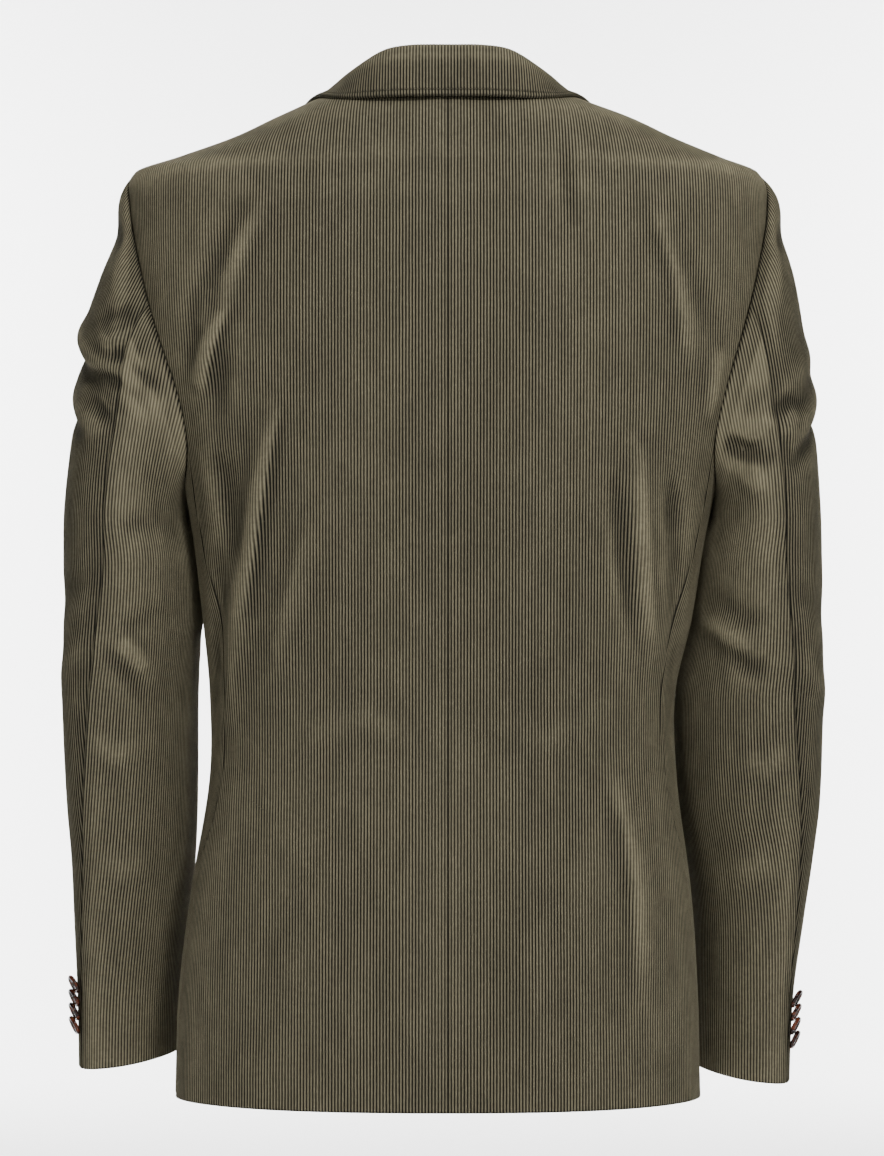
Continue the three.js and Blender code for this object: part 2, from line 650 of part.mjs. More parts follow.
function collarPiece() {
  const outer = [];
  const inner = [];
  for (let k = 0; k <= 2 * COLLAR_STATIONS; k += 1) {
    const { fold, edge, seam } = collarRow(k / COLLAR_STATIONS - 1);
    const line = [];
    const under = [];
    const outward = new THREE.Vector3(edge.x - seam.x, edge.y - seam.y, 0).normalize();
    const half = WALL / 2 + 0.2;
    const standFoot = seam.clone().addScaledVector(outward, -half * 2);
    const standTop = fold.clone().addScaledVector(outward, -half).add(new THREE.Vector3(0, 0, -4));
    line.push(standFoot);
    line.push(standFoot.clone().lerp(standTop, 0.5));
    line.push(standTop);
    line.push(fold.clone());
    const lay = edge.clone().sub(fold);
    for (let i = 1; i <= FALL_STEPS; i += 1) {
      const t = i / FALL_STEPS;
      const p = fold.clone().addScaledVector(lay, t);
      p.addScaledVector(outward, 5 * Math.sin(Math.PI * Math.sqrt(t)) * (1 - t * 0.6));
      line.push(clearOfBody(p, WALL + 2 * LAYER));
    }
    for (let i = 0; i < line.length; i += 1) {
      const a = line[Math.max(0, i - 1)];
      const b = line[Math.min(line.length - 1, i + 1)];
      const along = b.clone().sub(a);
      const side = new THREE.Vector3(-outward.y, outward.x, 0);
      const normal = side.cross(along).normalize();
      if (i < 3 && normal.dot(outward) > 0) normal.negate();
      if (i > 3 && normal.dot(outward) < 0) normal.negate();
      if (i === 3 && normal.z < 0) normal.negate();
      under.push(line[i].clone().addScaledVector(normal, -WALL));
    }
    outer.push(line);
    inner.push(under);
  }
  return wall(outer, inner);
}

// Sleeve: a rounded outline at a height, by its angle from straight back towards outside.
function sleeveRing(side, angle, z) {
  const r = row(SLEEVE, z);
  const outside = side > 0 ? r.left : r.right;
  const inside = side > 0 ? r.inLeft : r.inRight;
  const bend = (value) => Math.sign(value) * Math.abs(value) ** (2 / SLEEVE_POWER);
  const turn = SLEEVE_TURN * (1 - smooth(-445, ARMHOLE_BOTTOM_Z, z));
  const halfWidth = Math.sqrt(((outside - inside) / 2) ** 2 - (turn * r.halfDepth) ** 2);
  const y = r.halfDepth * bend(Math.cos(angle));
  return [(outside + inside) / 2 + halfWidth * bend(Math.sin(angle)) + turn * y, r.mid + y];
}

// Where the armhole seam is at an angle, and how far the sleeve is drawn in to meet it.
function armholePoint(side, angle) {
  const z = armholeMiddleZ + (armholeHalfHeight - ARMHOLE_INSET) * Math.sin(angle);
  const behind = Math.cos(angle) >= 0;
  const seam = behind ? armholeBack(side, z) : armholeFront(side, z);
  const u = seam + ARMHOLE_INSET * Math.cos(angle);
  const p = bodyPoint(side, u, z).addScaledVector(bodyNormal(side, u, z), ARMHOLE_CLEAR);
  p.x += side * ARMHOLE_INSET * Math.max(0, Math.sin(angle));
  return p;
}

const armholes = new Map();

function armholeMeet(side, angle) {
  const key = `${side} ${angle.toFixed(5)}`;
  if (!armholes.has(key)) {
    const p = armholePoint(side, angle);
    const [x, y] = sleeveRing(side, angle, p.z);
    const up = Math.max(0, Math.sin(angle));
    armholes.set(key, { z: p.z, dx: Math.abs(p.x) - x, dy: p.y - y, reach: mix(62, 34, up) });
  }
  return armholes.get(key);
}

function sleevePoint(side, angle, z) {
  const meet = armholeMeet(side, angle);
  const [x, y] = sleeveRing(side, angle, z);
  const down = clamp((meet.z - z) / meet.reach, 0, 1);
  const draw = (1 - down) ** 2.5;
  return new THREE.Vector3(side * (x + meet.dx * draw), y + meet.dy * draw, z);
}

function sleeveNormal(side, angle, z) {
  const step = 0.02;
  const drop = Math.min(z, armholeMeet(side, angle).z - 1);
  const around = sleevePoint(side, angle + step, drop - 1).sub(sleevePoint(side, angle - step, drop - 1));
  const along = sleevePoint(side, angle, drop - 1).sub(sleevePoint(side, angle, drop - 3));
  return around.cross(along).normalize().multiplyScalar(-side);
}

function sleeveCloth(side, angle, z) {
  const round = (Math.PI / 2 - angle) * SLEEVE_RADIUS;
  const fade = smooth(0, 14, armholeMeet(side, angle).z - z);
  const out = foldsAt(SLEEVE_FOLDS, side, round, z) * fade;
  const normal = sleeveNormal(side, angle, z);
  return [sleevePoint(side, angle, z).addScaledVector(normal, out), normal];
}

const hindSeam = (z) => radians(column(SLEEVE, "hind", z));
const seamAngle = (z) => (SEAM / 2) / (column(SLEEVE, "halfDepth", z));

const cuffZ = (side) => (side > 0 ? CUFF_Z.left : CUFF_Z.right);

// The cuff rises from the slit towards the inside of the arm.
function cuffRise(side, angle, z) {
  const near = 1 - smooth(cuffZ(side), CUFF_SLIT_Z, z);
  return CUFF_SLANT * near * (0.5 - 0.5 * Math.cos(angle - hindSeam(z)));
}

function cuffRows(side) {
  const rows = [];
  const add = (from, to, count) => {
    for (let i = 0; i < count; i += 1) rows.push(mix(from, to, i / count));
  };
  add(cuffZ(side), CUFF_SLIT_Z, 6);
  add(CUFF_SLIT_Z, WAIST_TOP_Z, 12);
  rows.push(WAIST_TOP_Z);
  return rows;
}

const hindTopZ = armholeMiddleZ + armholeHalfHeight * Math.sin(radians(HIND_SEAM_TOP));
const armholeAngle = (z) => Math.asin(clamp((z - armholeMiddleZ) / armholeHalfHeight, -1, 1));

function topSleeve(side) {
  const rows = cuffRows(side);
  for (let i = 1; i <= 8; i += 1) rows.push(mix(WAIST_TOP_Z, hindTopZ, i / 8));
  for (let i = 1; i <= 7; i += 1) rows.push(mix(hindTopZ, SHOULDER_Z - 0.5, Math.sin((i / 7) * Math.PI / 2)));
  const across = (z, share) => {
    const gap = seamAngle(z);
    const start = Math.max(hindSeam(z), armholeAngle(z)) + gap;
    const end = Math.min(Math.PI * 2 + radians(FOREARM_SEAM), Math.PI - armholeAngle(z)) - gap;
    const angle = mix(start, Math.max(end, start + 0.02), share);
    return [angle, z + cuffRise(side, angle, z)];
  };
  return panel(rows, TOP_SLEEVE_COLUMNS, across, (a, z) => sleeveCloth(side, a, z));
}

function underSleeve(side) {
  const rows = cuffRows(side);
  for (let i = 1; i <= 8; i += 1) rows.push(WAIST_TOP_Z + i);
  const across = (z, share) => {
    const gap = seamAngle(z);
    const low = Math.min(z, WAIST_TOP_Z);
    const start = radians(FOREARM_SEAM) + (z < WAIST_TOP_Z ? gap : gap * CURVED_GAP);
    const corner = cornerTrim(z - cuffZ(side));
    const angle = mix(start, hindSeam(low) - gap - corner, share);
    if (z <= WAIST_TOP_Z) return [angle, z + cuffRise(side, angle, z)];
    const top = armholeMeet(side, angle).z;
    return [angle, mix(WAIST_TOP_Z, top, (z - WAIST_TOP_Z) / 8)];
  };
  return panel(rows, UNDER_SLEEVE_COLUMNS, across, (a, z) => sleeveCloth(side, a, z));
}

// The rounded corner of the under sleeve at the cuff slit.
function cornerTrim(above) {
  const down = clamp(1 - above / CUFF_CORNER, 0, 1);
  return (CUFF_NOTCH * (1 - Math.sqrt(1 - down * down))) / SLEEVE_RADIUS;
}

// A button with a raised rim and a dished middle, its back on z = 0.
function buttonShape({ radius, thickness }) {
  const profile = [
    [0, 0],
    [radius * 0.8, 0],
    [radius, thickness * 0.5],
    [radius * 0.86, thickness],
    [radius * 0.62, thickness * 0.7],
    [0, thickness * 0.66],
  ].map(([x, y]) => new THREE.Vector2(x, y));
  return new THREE.LatheGeometry(profile, BUTTON_SIDES).rotateX(Math.PI / 2);
}

function named(name, geometry, colour, roughness) {
  const material = new THREE.MeshStandardMaterial({ color: colour, roughness, metalness: 0 });
  const mesh = new THREE.Mesh(geometry, material);
  mesh.name = name;
  return mesh;
}

// Sets a button on the cloth at a point, its face along the normal, turned by a lean.
function setButton(mesh, point, normal, up, lean) {
  const side = up.clone().cross(normal).normalize();
  const face = normal.clone().applyAxisAngle(side, radians(lean));
  const rise = face.clone().cross(side).normalize();
  mesh.matrixAutoUpdate = false;
  mesh.matrix.makeBasis(side, rise, face).setPosition(point);
  mesh.matrix.decompose(mesh.position, mesh.quaternion, mesh.scale);
  mesh.matrixAutoUpdate = true;
}

const jacket = new THREE.Group();

for (const side of [1, -1]) {
  const hand = side > 0 ? "left" : "right";
  jacket.add(named(`back_${hand}`, backPanel(side), CORDUROY, 0.9));
  jacket.add(named(`side_${hand}`, sidePanel(side), CORDUROY, 0.9));
  jacket.add(named(`front_${hand}`, frontPanel(side), CORDUROY, 0.9));
  jacket.add(named(`lapel_${hand}`, lapelPiece(side), CORDUROY, 0.9));
  jacket.add(named(`sleeve_top_${hand}`, topSleeve(side), CORDUROY, 0.9));
  jacket.add(named(`sleeve_under_${hand}`, underSleeve(side), CORDUROY, 0.9));
  for (let k = 0; k < CUFF_BUTTONS; k += 1) {
    const z = cuffZ(side) + CUFF_BUTTON_RISE + CUFF_BUTTON_PITCH * (CUFF_BUTTONS - 1 - k);
    const angle = hindSeam(z) + CUFF_BUTTON_IN;
    const [point, normal] = sleeveCloth(side, angle, z);
    const mesh = named(`cuff_button_${hand}_${k + 1}`, buttonShape(CUFF_BUTTON), HORN, 0.3);
    const lift = CUFF_BUTTON.radius * Math.sin(radians(CUFF_BUTTON_LEAN)) + SEAM;
    point.addScaledVector(normal, lift);
    setButton(mesh, point, normal, new THREE.Vector3(0, 0, 1), CUFF_BUTTON_LEAN);
    jacket.add(mesh);
  }
}

FRONT_BUTTON_Z.forEach((z, k) => {
  const u = roundLength(1, z);
  const normal = bodyNormal(1, u, z);
  const point = bodyCloth(1, u, z, frontLift(1, u, z) + SEAM);
  const mesh = named(`front_button_${k + 1}`, buttonShape(FRONT_BUTTON), HORN, 0.3);
  setButton(mesh, point, normal, new THREE.Vector3(0, 0, 1), 0);
  jacket.add(mesh);
});

jacket.add(named("collar", collarPiece(), LINED, 0.9));

export default jacket;
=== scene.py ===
"""Looks of a corduroy jacket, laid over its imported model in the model's own frame.

Sizes are in millimetres until a mesh is made, and in metres from there on. +Z is up, +X is
the wearer's left and -Y is the front. Each sewn piece is a thin closed shell: a fine grid of
wales outside, a plain coarse face inside and a rim that joins them.
"""

import logging
import math
from dataclasses import dataclass, field
from enum import Enum
from typing import Callable, Sequence

import bpy
import numpy as np
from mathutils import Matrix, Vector

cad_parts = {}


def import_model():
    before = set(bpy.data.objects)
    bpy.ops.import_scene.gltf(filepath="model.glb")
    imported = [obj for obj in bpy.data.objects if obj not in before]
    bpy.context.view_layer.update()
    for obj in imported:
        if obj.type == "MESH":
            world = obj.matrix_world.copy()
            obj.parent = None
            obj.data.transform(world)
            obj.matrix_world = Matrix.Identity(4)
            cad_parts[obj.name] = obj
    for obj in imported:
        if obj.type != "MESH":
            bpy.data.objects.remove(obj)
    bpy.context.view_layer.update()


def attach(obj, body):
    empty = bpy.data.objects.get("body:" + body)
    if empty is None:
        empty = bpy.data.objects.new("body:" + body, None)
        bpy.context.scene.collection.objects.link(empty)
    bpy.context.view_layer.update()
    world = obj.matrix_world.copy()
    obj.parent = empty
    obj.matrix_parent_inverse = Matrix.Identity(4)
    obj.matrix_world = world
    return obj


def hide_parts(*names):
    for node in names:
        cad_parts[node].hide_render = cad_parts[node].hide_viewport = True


LOG = logging.getLogger("jacket")

Array = np.ndarray
Surface = Callable[[Array, Array], Array]

METRES = 0.001
WALL = 2.0
SEAM = -0.1
LAYER = 0.35

HEM_Z = -735.0
WAIST_TOP_Z = -310.0
NECK_Z = 6.0
NECK_HALF_WIDTH = 78.0
SHOULDER_Z = -56.0

ARMHOLE_BOTTOM_Z = -291.0
ARMHOLE_JOIN_Z = -262.0
ARMHOLE_HALF_WIDTH = 58.0
ARMHOLE_TAPER = 0.45
ARMHOLE_Y = -2.0
ARMHOLE_CLEAR = 0.1
ARMHOLE_INSET = -0.8
ARMHOLE_MIDDLE_Z = (SHOULDER_Z + ARMHOLE_BOTTOM_Z) / 2
ARMHOLE_HALF_HEIGHT = (SHOULDER_Z - ARMHOLE_BOTTOM_Z) / 2
FLOOR_DROP = 1.0

EDGE_OVERLAP = 18.0
BREAK_Z = -400.0
CROSS_Z = -318.0
CUTAWAY_Z = -545.0
CUTAWAY_WIDTH = 92.0
LAP_FADE = 60.0
LAPEL_TIP = (140.0, -96.0)
GORGE = (66.0, -54.0)
LAPEL_BELLY = 7.0
LAPEL_HIDDEN_Z = -352.0
LAPEL_CLEAR = 3.0
LAPEL_ROLL = 3.5

VENT_Z = -522.0
VENT_LAP = 8.0
VENT_RAMP = 40.0

SLEEVE_POWER = 2.15
SLEEVE_RADIUS = 54.0
SLEEVE_TURN = 0.26
SLEEVE_TURN_TOP_Z = -291.0
SLEEVE_TURN_FOOT_Z = -445.0
FOREARM_SEAM = math.radians(-140)
CUFF_SLIT_Z = -622.0
CUFF_SLANT = 13.0
CUFF_CORNER = 9.0
CUFF_NOTCH = 5.0
CUFF_BUTTONS = 4
CUFF_BUTTON_RISE = 34.0
CUFF_BUTTON_IN = 0.12
CUFF_BUTTON_PITCH = 10.4
CUFF_BUTTON_LEAN = math.radians(20)
FRONT_BUTTON_Z = (-418.0, -528.0)


class Hand(Enum):
    """Which of the wearer's sides a piece is on, as the sign of X."""

    LEFT = 1
    RIGHT = -1

    @property
    def sign(self) -> int:
        """The sign of X on this side."""
        return self.value

    @property
    def word(self) -> str:
        """The side's name, as it is written in the names of the model's nodes."""
        return self.name.lower()


class Face(Enum):
    """What a face of a shell is finished with, as its material's place in the mesh."""

    CORD = 0
    BACKING = 1


def smooth(low: float, high: float, value: Array) -> Array:
    """Ease from 0 to 1 as a value goes from low to high.

    Args:
        low: the value at which it leaves 0.
        high: the value at which it reaches 1.
        value: the values.

    Returns:
        The eased shares.
    """
    t = np.clip((value - low) / (high - low), 0, 1)
    return t * t * (3 - 2 * t)


def mix(a: Array, b: Array, share: Array) -> Array:
    """The value that lies a share of the way from a to b."""
    return a + (b - a) * share


def curve_through(places: Array, values: Array, at: Array) -> Array:
    """Read a smooth curve through values at rising places.

    Args:
        places: the places, in order.
        values: the value at each place, or an array of values for each.
        at: where the curve is read, held within the first and last place.

    Returns:
        The values there.
    """
    last = len(places) - 1
    spread = np.arange(last + 1)
    before, after = np.maximum(spread - 1, 0), np.minimum(spread + 1, last)
    shape = (-1,) + (1,) * (values.ndim - 1)
    run = (places[after] - places[before]).reshape(shape)
    slope = (values[after] - values[before]) / run
    held = np.clip(at, places[0], places[-1])
    i = np.clip(np.searchsorted(places, held, side="right") - 1, 0, last - 1)
    step = places[i + 1] - places[i]
    t = (held - places[i]) / step
    if values.ndim > 1:
        t = t.reshape(t.shape + (1,) * (values.ndim - 1))
        step = step.reshape(t.shape)
    t2, t3 = t * t, t * t * t
    return (
        (2 * t3 - 3 * t2 + 1) * values[i]
        + (t3 - 2 * t2 + t) * step * slope[i]
        + (3 * t2 - 2 * t3) * values[i + 1]
        + (t3 - t2) * step * slope[i + 1]
    )


@dataclass(frozen=True)
class Profile:
    """A table of sizes whose rows go down in height, with a smooth curve through each column."""

    columns: tuple[str, ...]
    rows: tuple[tuple[float, ...], ...]

    def at(self, name: str, z: Array) -> Array:
        """Read one column at any heights.

        Args:
            name: the column.
            z: the heights.

        Returns:
            The column's values there.
        """
        table = np.array(self.rows[::-1], float)
        values = table[:, 1 + self.columns.index(name)]
        return curve_through(table[:, 0], values, z)


@dataclass(frozen=True)
class Fold:
    """A soft ridge or trough along a line on the cloth, as distances round and heights.

    The line goes from (u1, z1) to (u2, z2); out is its height, which is below 0 in a trough.
    """

    u1: float
    z1: float
    u2: float
    z2: float
    width: float
    out: float

    def push(self, u: Array, z: Array) -> Array:
        """How far the fold pushes the cloth out at places on it.

        Args:
            u: distances round the cloth.
            z: heights.

        Returns:
            The push, in millimetres.
        """
        du, dz = self.u2 - self.u1, self.z2 - self.z1
        along = ((u - self.u1) * du + (z - self.z1) * dz) / (du * du + dz * dz)
        near = np.clip(along, 0, 1)
        away = np.hypot(u - self.u1 - near * du, z - self.z1 - near * dz)
        fade = np.sin(math.pi * np.clip(0.12 + 0.76 * along, 0, 1))
        return self.out * fade * np.exp(-((away / self.width) ** 2))


def push_of(folds: Sequence[Fold], u: Array, z: Array) -> Array:
    """The push of several folds together.

    Args:
        folds: the folds.
        u: distances round the cloth.
        z: heights.

    Returns:
        Their sum, in millimetres.
    """
    total = np.zeros(np.broadcast(u, z).shape)
    for fold in folds:
        total += fold.push(u, z)
    return total


BODY = Profile(
    ("left", "right", "back", "front", "mid", "back_power", "front_power"),
    (
        (8, 74, 74, 56, 56, 2, 2, 2),
        (-2, 97, 98, 65, 62, 1, 2, 2),
        (-16, 128, 136, 76, 70, 0, 2.05, 2),
        (-31, 160, 168, 86, 78, -1, 2.1, 2.05),
        (-46, 202, 204, 94, 86, -1, 2.15, 2.1),
        (-56, 231, 229, 99, 91, -2, 2.2, 2.15),
        (-80, 236, 237, 107, 102, -2, 2.35, 2.2),
        (-132, 233, 235, 116, 120, -2, 2.5, 2.3),
        (-181, 227, 230, 119, 131, -2, 2.5, 2.35),
        (-225, 215, 220, 118, 136, -2, 2.45, 2.4),
        (-275, 198, 202, 113, 136, -2, 2.4, 2.4),
        (-320, 189, 191, 107, 133, -3, 2.4, 2.4),
        (-386, 181, 180, 100, 129, -4, 2.4, 2.4),
        (-440, 176, 168, 98, 128, -5, 2.4, 2.4),
        (-500, 176, 169, 103, 129, -5, 2.4, 2.4),
        (-586, 190, 180, 115, 132, -4, 2.4, 2.35),
        (-660, 199, 185, 121, 134, -3, 2.4, 2.3),
        (-740, 202, 187, 124, 135, -3, 2.4, 2.3),
    ),
)

SIDE_SEAMS = Profile(
    ("back", "front"),
    ((-310, 0.79, 0.74), (-440, 0.775, 0.74), (-560, 0.81, 0.75), (-740, 0.845, 0.77)),
)

SLEEVE = Profile(
    ("left", "right", "in_left", "in_right", "half_depth", "mid", "hind"),
    (
        (-50, 246, 246, 159, 159, 58, -2, 9),
        (-100, 244.5, 247, 161, 163, 62, -2, 9),
        (-135, 257, 256, 170, 169, 65, -2, 9),
        (-170, 268, 262, 178, 176, 67, -1, 9),
        (-225, 274, 269, 188, 187, 68, 0, 9),
        (-300, 282.5, 274.6, 200, 200, 66, 2, 9),
        (-345, 282.8, 275.2, 191, 191, 64, 1, 9),
        (-410, 282.2, 275.4, 186, 179, 63, -8, 11),
        (-445, 283.3, 275.9, 187, 173, 62, -14, 13),
        (-519, 281.5, 275, 188, 172, 58, -27, 24),
        (-563, 278.7, 270.4, 190, 178, 55, -35, 30),
        (-608, 277.5, 264.4, 194, 182, 53, -43, 35),
        (-667, 276, 257.4, 198, 182, 51, -54, 42),
        (-745, 276, 255.5, 199, 181, 50, -68, 47),
    ),
)

CUFF_Z = {Hand.LEFT: -721.0, Hand.RIGHT: -732.0}

BODY_FOLDS = {
    Hand.LEFT: (
        Fold(150, -92, 196, -190, 13, -3.2),
        Fold(178, -150, 188, -212, 7, 2.2),
        Fold(140, -292, 172, -455, 12, 3.4),
        Fold(172, -325, 192, -440, 11, -3.2),
        Fold(120, -560, 142, -690, 22, -1.8),
    ),
    Hand.RIGHT: (
        Fold(158, -110, 205, -185, 14, -2.6),
        Fold(204, -192, 200, -238, 8, 2.4),
        Fold(148, -272, 158, -385, 12, 2.8),
        Fold(176, -300, 182, -430, 11, -3),
        Fold(118, -580, 128, -700, 20, -1.6),
    ),
}

SLEEVE_FOLDS = {
    Hand.LEFT: (
        Fold(-20, -160, 62, -204, 9, 4.6),
        Fold(-26, -176, 66, -223, 8, -4.6),
        Fold(-24, -204, 60, -249, 10, 3.4),
        Fold(-30, -217, 40, -251, 8, -3),
        Fold(6, -96, 40, -112, 9, -2.2),
        Fold(10, -372, 78, -352, 14, -2.4),
        Fold(20, -430, 82, -398, 13, 2),
        Fold(-80, -392, -20, -372, 13, -2.6),
    ),
    Hand.RIGHT: (
        Fold(-22, -176, 60, -215, 10, 2.4),
        Fold(-26, -201, 62, -255, 10, 3.6),
        Fold(-28, -218, 64, -272, 8, -4.2),
        Fold(4, -98, 38, -114, 9, -2.2),
        Fold(14, -384, 80, -362, 14, -2.2),
        Fold(16, -446, 80, -410, 13, 2),
        Fold(-80, -400, -20, -380, 13, -2.6),
    ),
}

# How far the sleeve's inside is pressed out towards the body, by height.
SLEEVE_REST = {
    Hand.LEFT: Profile(
        ("push",),
        (
            (-280, 0), (-290, 2.4), (-298, 5), (-306, 7.4), (-318, 8.4), (-330, 7.6),
            (-345, 6.2), (-360, 5.6), (-375, 5.2), (-388, 4.6), (-398, 2.4), (-420, 0),
        ),
    ),
    Hand.RIGHT: Profile(
        ("push",),
        (
            (-280, 0), (-290, 2), (-298, 4.4), (-306, 6.4), (-318, 7.2), (-330, 6.5),
            (-345, 5), (-360, 4), (-375, 3.3), (-390, 3), (-410, 3.4), (-430, 3.8), (-450, 3.4),
            (-475, 2.2), (-500, 1), (-530, 0),
        ),
    ),
}
REST_PLACE = 184.0
REST_WIDTH = 30.0

FAR_OFF = 1e9
CREASE_BEND = 2.0
CREASE_START = 0.06
CREASE_SPAN = 0.88
BACK_FADE = (-30, 20)
HIND_FADE = (0, 18)


@dataclass(frozen=True)
class Crease:
    """A bent ridge or trough seen from behind, through distances from centre and heights.

    Its lean makes the one side steeper than the other.
    """

    line: tuple[tuple[float, float], ...]
    width: float
    out: float
    lean: float = 0.0

    def push(self, across: Array, z: Array) -> Array:
        """How far the crease pushes the cloth out.

        Args:
            across: how far from centre back each place is, on this side.
            z: heights.

        Returns:
            The push, in millimetres.
        """
        points = np.array(self.line)
        steps = np.linalg.norm(np.diff(points, axis=0), axis=1)
        total = steps.sum()
        best = np.full(np.shape(across), FAR_OFF)
        place = np.zeros(np.shape(across))
        width = np.full(np.shape(across), self.width)
        done = 0.0
        for (x, y), (dx, dy), step in zip(points[:-1], np.diff(points, axis=0), steps):
            share = ((across - x) * dx + (z - y) * dy) / step**2
            held = np.clip(share, 0, 1)
            away = np.hypot(across - x - held * dx, z - y - held * dy)
            nearer = away < best
            best = np.where(nearer, away, best)
            place = np.where(nearer, (done + held * step) / total, place)
            side = np.tanh(((across - x) * dy - (z - y) * dx) / step / CREASE_BEND)
            width = np.where(nearer, self.width * (1 - self.lean * side), width)
            done += step
        fade = np.sin(math.pi * np.clip(CREASE_START + CREASE_SPAN * place, 0, 1))
        return self.out * fade * np.exp(-((best / width) ** 2))


BACK_CREASES = {
    Hand.LEFT: (
        Crease(((161, -162), (166, -175), (171, -189), (175, -203), (178, -221)), 7, 5, 0.35),
        Crease(((133, -86), (147, -112), (158, -140), (162, -160)), 9, 3),
        Crease(((177, -170), (181, -189), (185, -210)), 7, -3),
        Crease(((158, -190), (164, -214), (165, -242)), 8, -3),
        Crease(((165, -262), (160, -292), (157, -321), (152, -350)), 10, -4.5, -0.3),
        Crease(((124, -236), (133, -285), (140, -328), (148, -376)), 7, 5.2, 0.4),
        Crease(((176, -250), (173, -285), (171, -318)), 9, 1.8),
        Crease(((97, -313), (107, -349), (117, -385), (125, -435)), 12, 2.2, -0.3),
        Crease(((20, -470), (60, -455), (110, -470)), 12, 1.4),
        Crease(((60, -610), (66, -660), (64, -700)), 16, 1.4),
    ),
    Hand.RIGHT: (
        Crease(((137, -264), (138, -314), (141, -364), (148, -406)), 9, 5, -0.3),
        Crease(((121, -285), (127, -342), (136, -399)), 9, -3.8, 0.3),
        Crease(((163, -278), (163, -328)), 8, -3.4),
        Crease(((150, -90), (166, -140), (174, -200)), 9, 3.2, 0.3),
        Crease(((117, -495), (130, -535), (137, -585), (141, -656)), 10, 4, 0.3),
        Crease(((84, -36), (86, -70), (90, -108)), 7, -1.6),
        Crease(((30, -455), (70, -470), (112, -452)), 12, 1.2),
        Crease(((70, -600), (64, -650), (68, -700)), 15, 1.4),
    ),
}
SLEEVE_CREASES = {
    Hand.LEFT: (
        Crease(((254, -170), (245, -165), (234, -162), (228, -154)), 7, -3.2),
        Crease(((254, -178), (245, -184), (235, -181), (225, -172)), 6, 3.8, 0.2),
        Crease(((231, -188), (241, -198)), 4, -2),
        Crease(((232, -198), (225, -205), (216, -212), (205, -215)), 6, -2.6, 0.3),
        Crease(((240, -201), (231, -208), (221, -217)), 6, 3),
        Crease(((262, -204), (250, -208), (232, -216)), 5, -3.2, 0.3),
        Crease(((260, -222), (252, -232), (242, -243)), 5, -2.6, 0.3),
        Crease(((240, -320), (225, -316), (208, -318)), 9, -1.3),
        Crease(((238, -392), (224, -386), (206, -377)), 9, -1.3),
        Crease(((240, -399), (230, -410), (218, -422)), 8, 2.4),
        Crease(((250, -408), (240, -417), (230, -430), (222, -446)), 8, -1.5),
        Crease(((262, -470), (244, -482), (222, -478)), 10, 1.8),
        Crease(((258, -560), (240, -568), (220, -560)), 12, 1.6),
    ),
    Hand.RIGHT: (
        Crease(((215, -257), (226, -249), (238, -239)), 5, 3, 0.35),
        Crease(((200, -254), (212, -262), (222, -261)), 7, -3),
        Crease(((260, -230), (247, -227), (240, -234), (237, -245)), 6, -2.8),
        Crease(((255, -239), (247, -241), (243, -257)), 7, 2.4),
        Crease(((194, -362), (206, -376), (218, -384), (234, -386)), 9, -1.8),
        Crease(((188, -383), (205, -398), (222, -408)), 8, 3.2, 0.2),
        Crease(((205, -410), (219, -419), (233, -422)), 8, -2.2),
        Crease(((212, -285), (230, -278)), 10, 1.8),
        Crease(((250, -480), (232, -492), (212, -486)), 10, 1.8),
        Crease(((246, -575), (228, -566), (206, -574)), 12, 1.6),
    ),
}


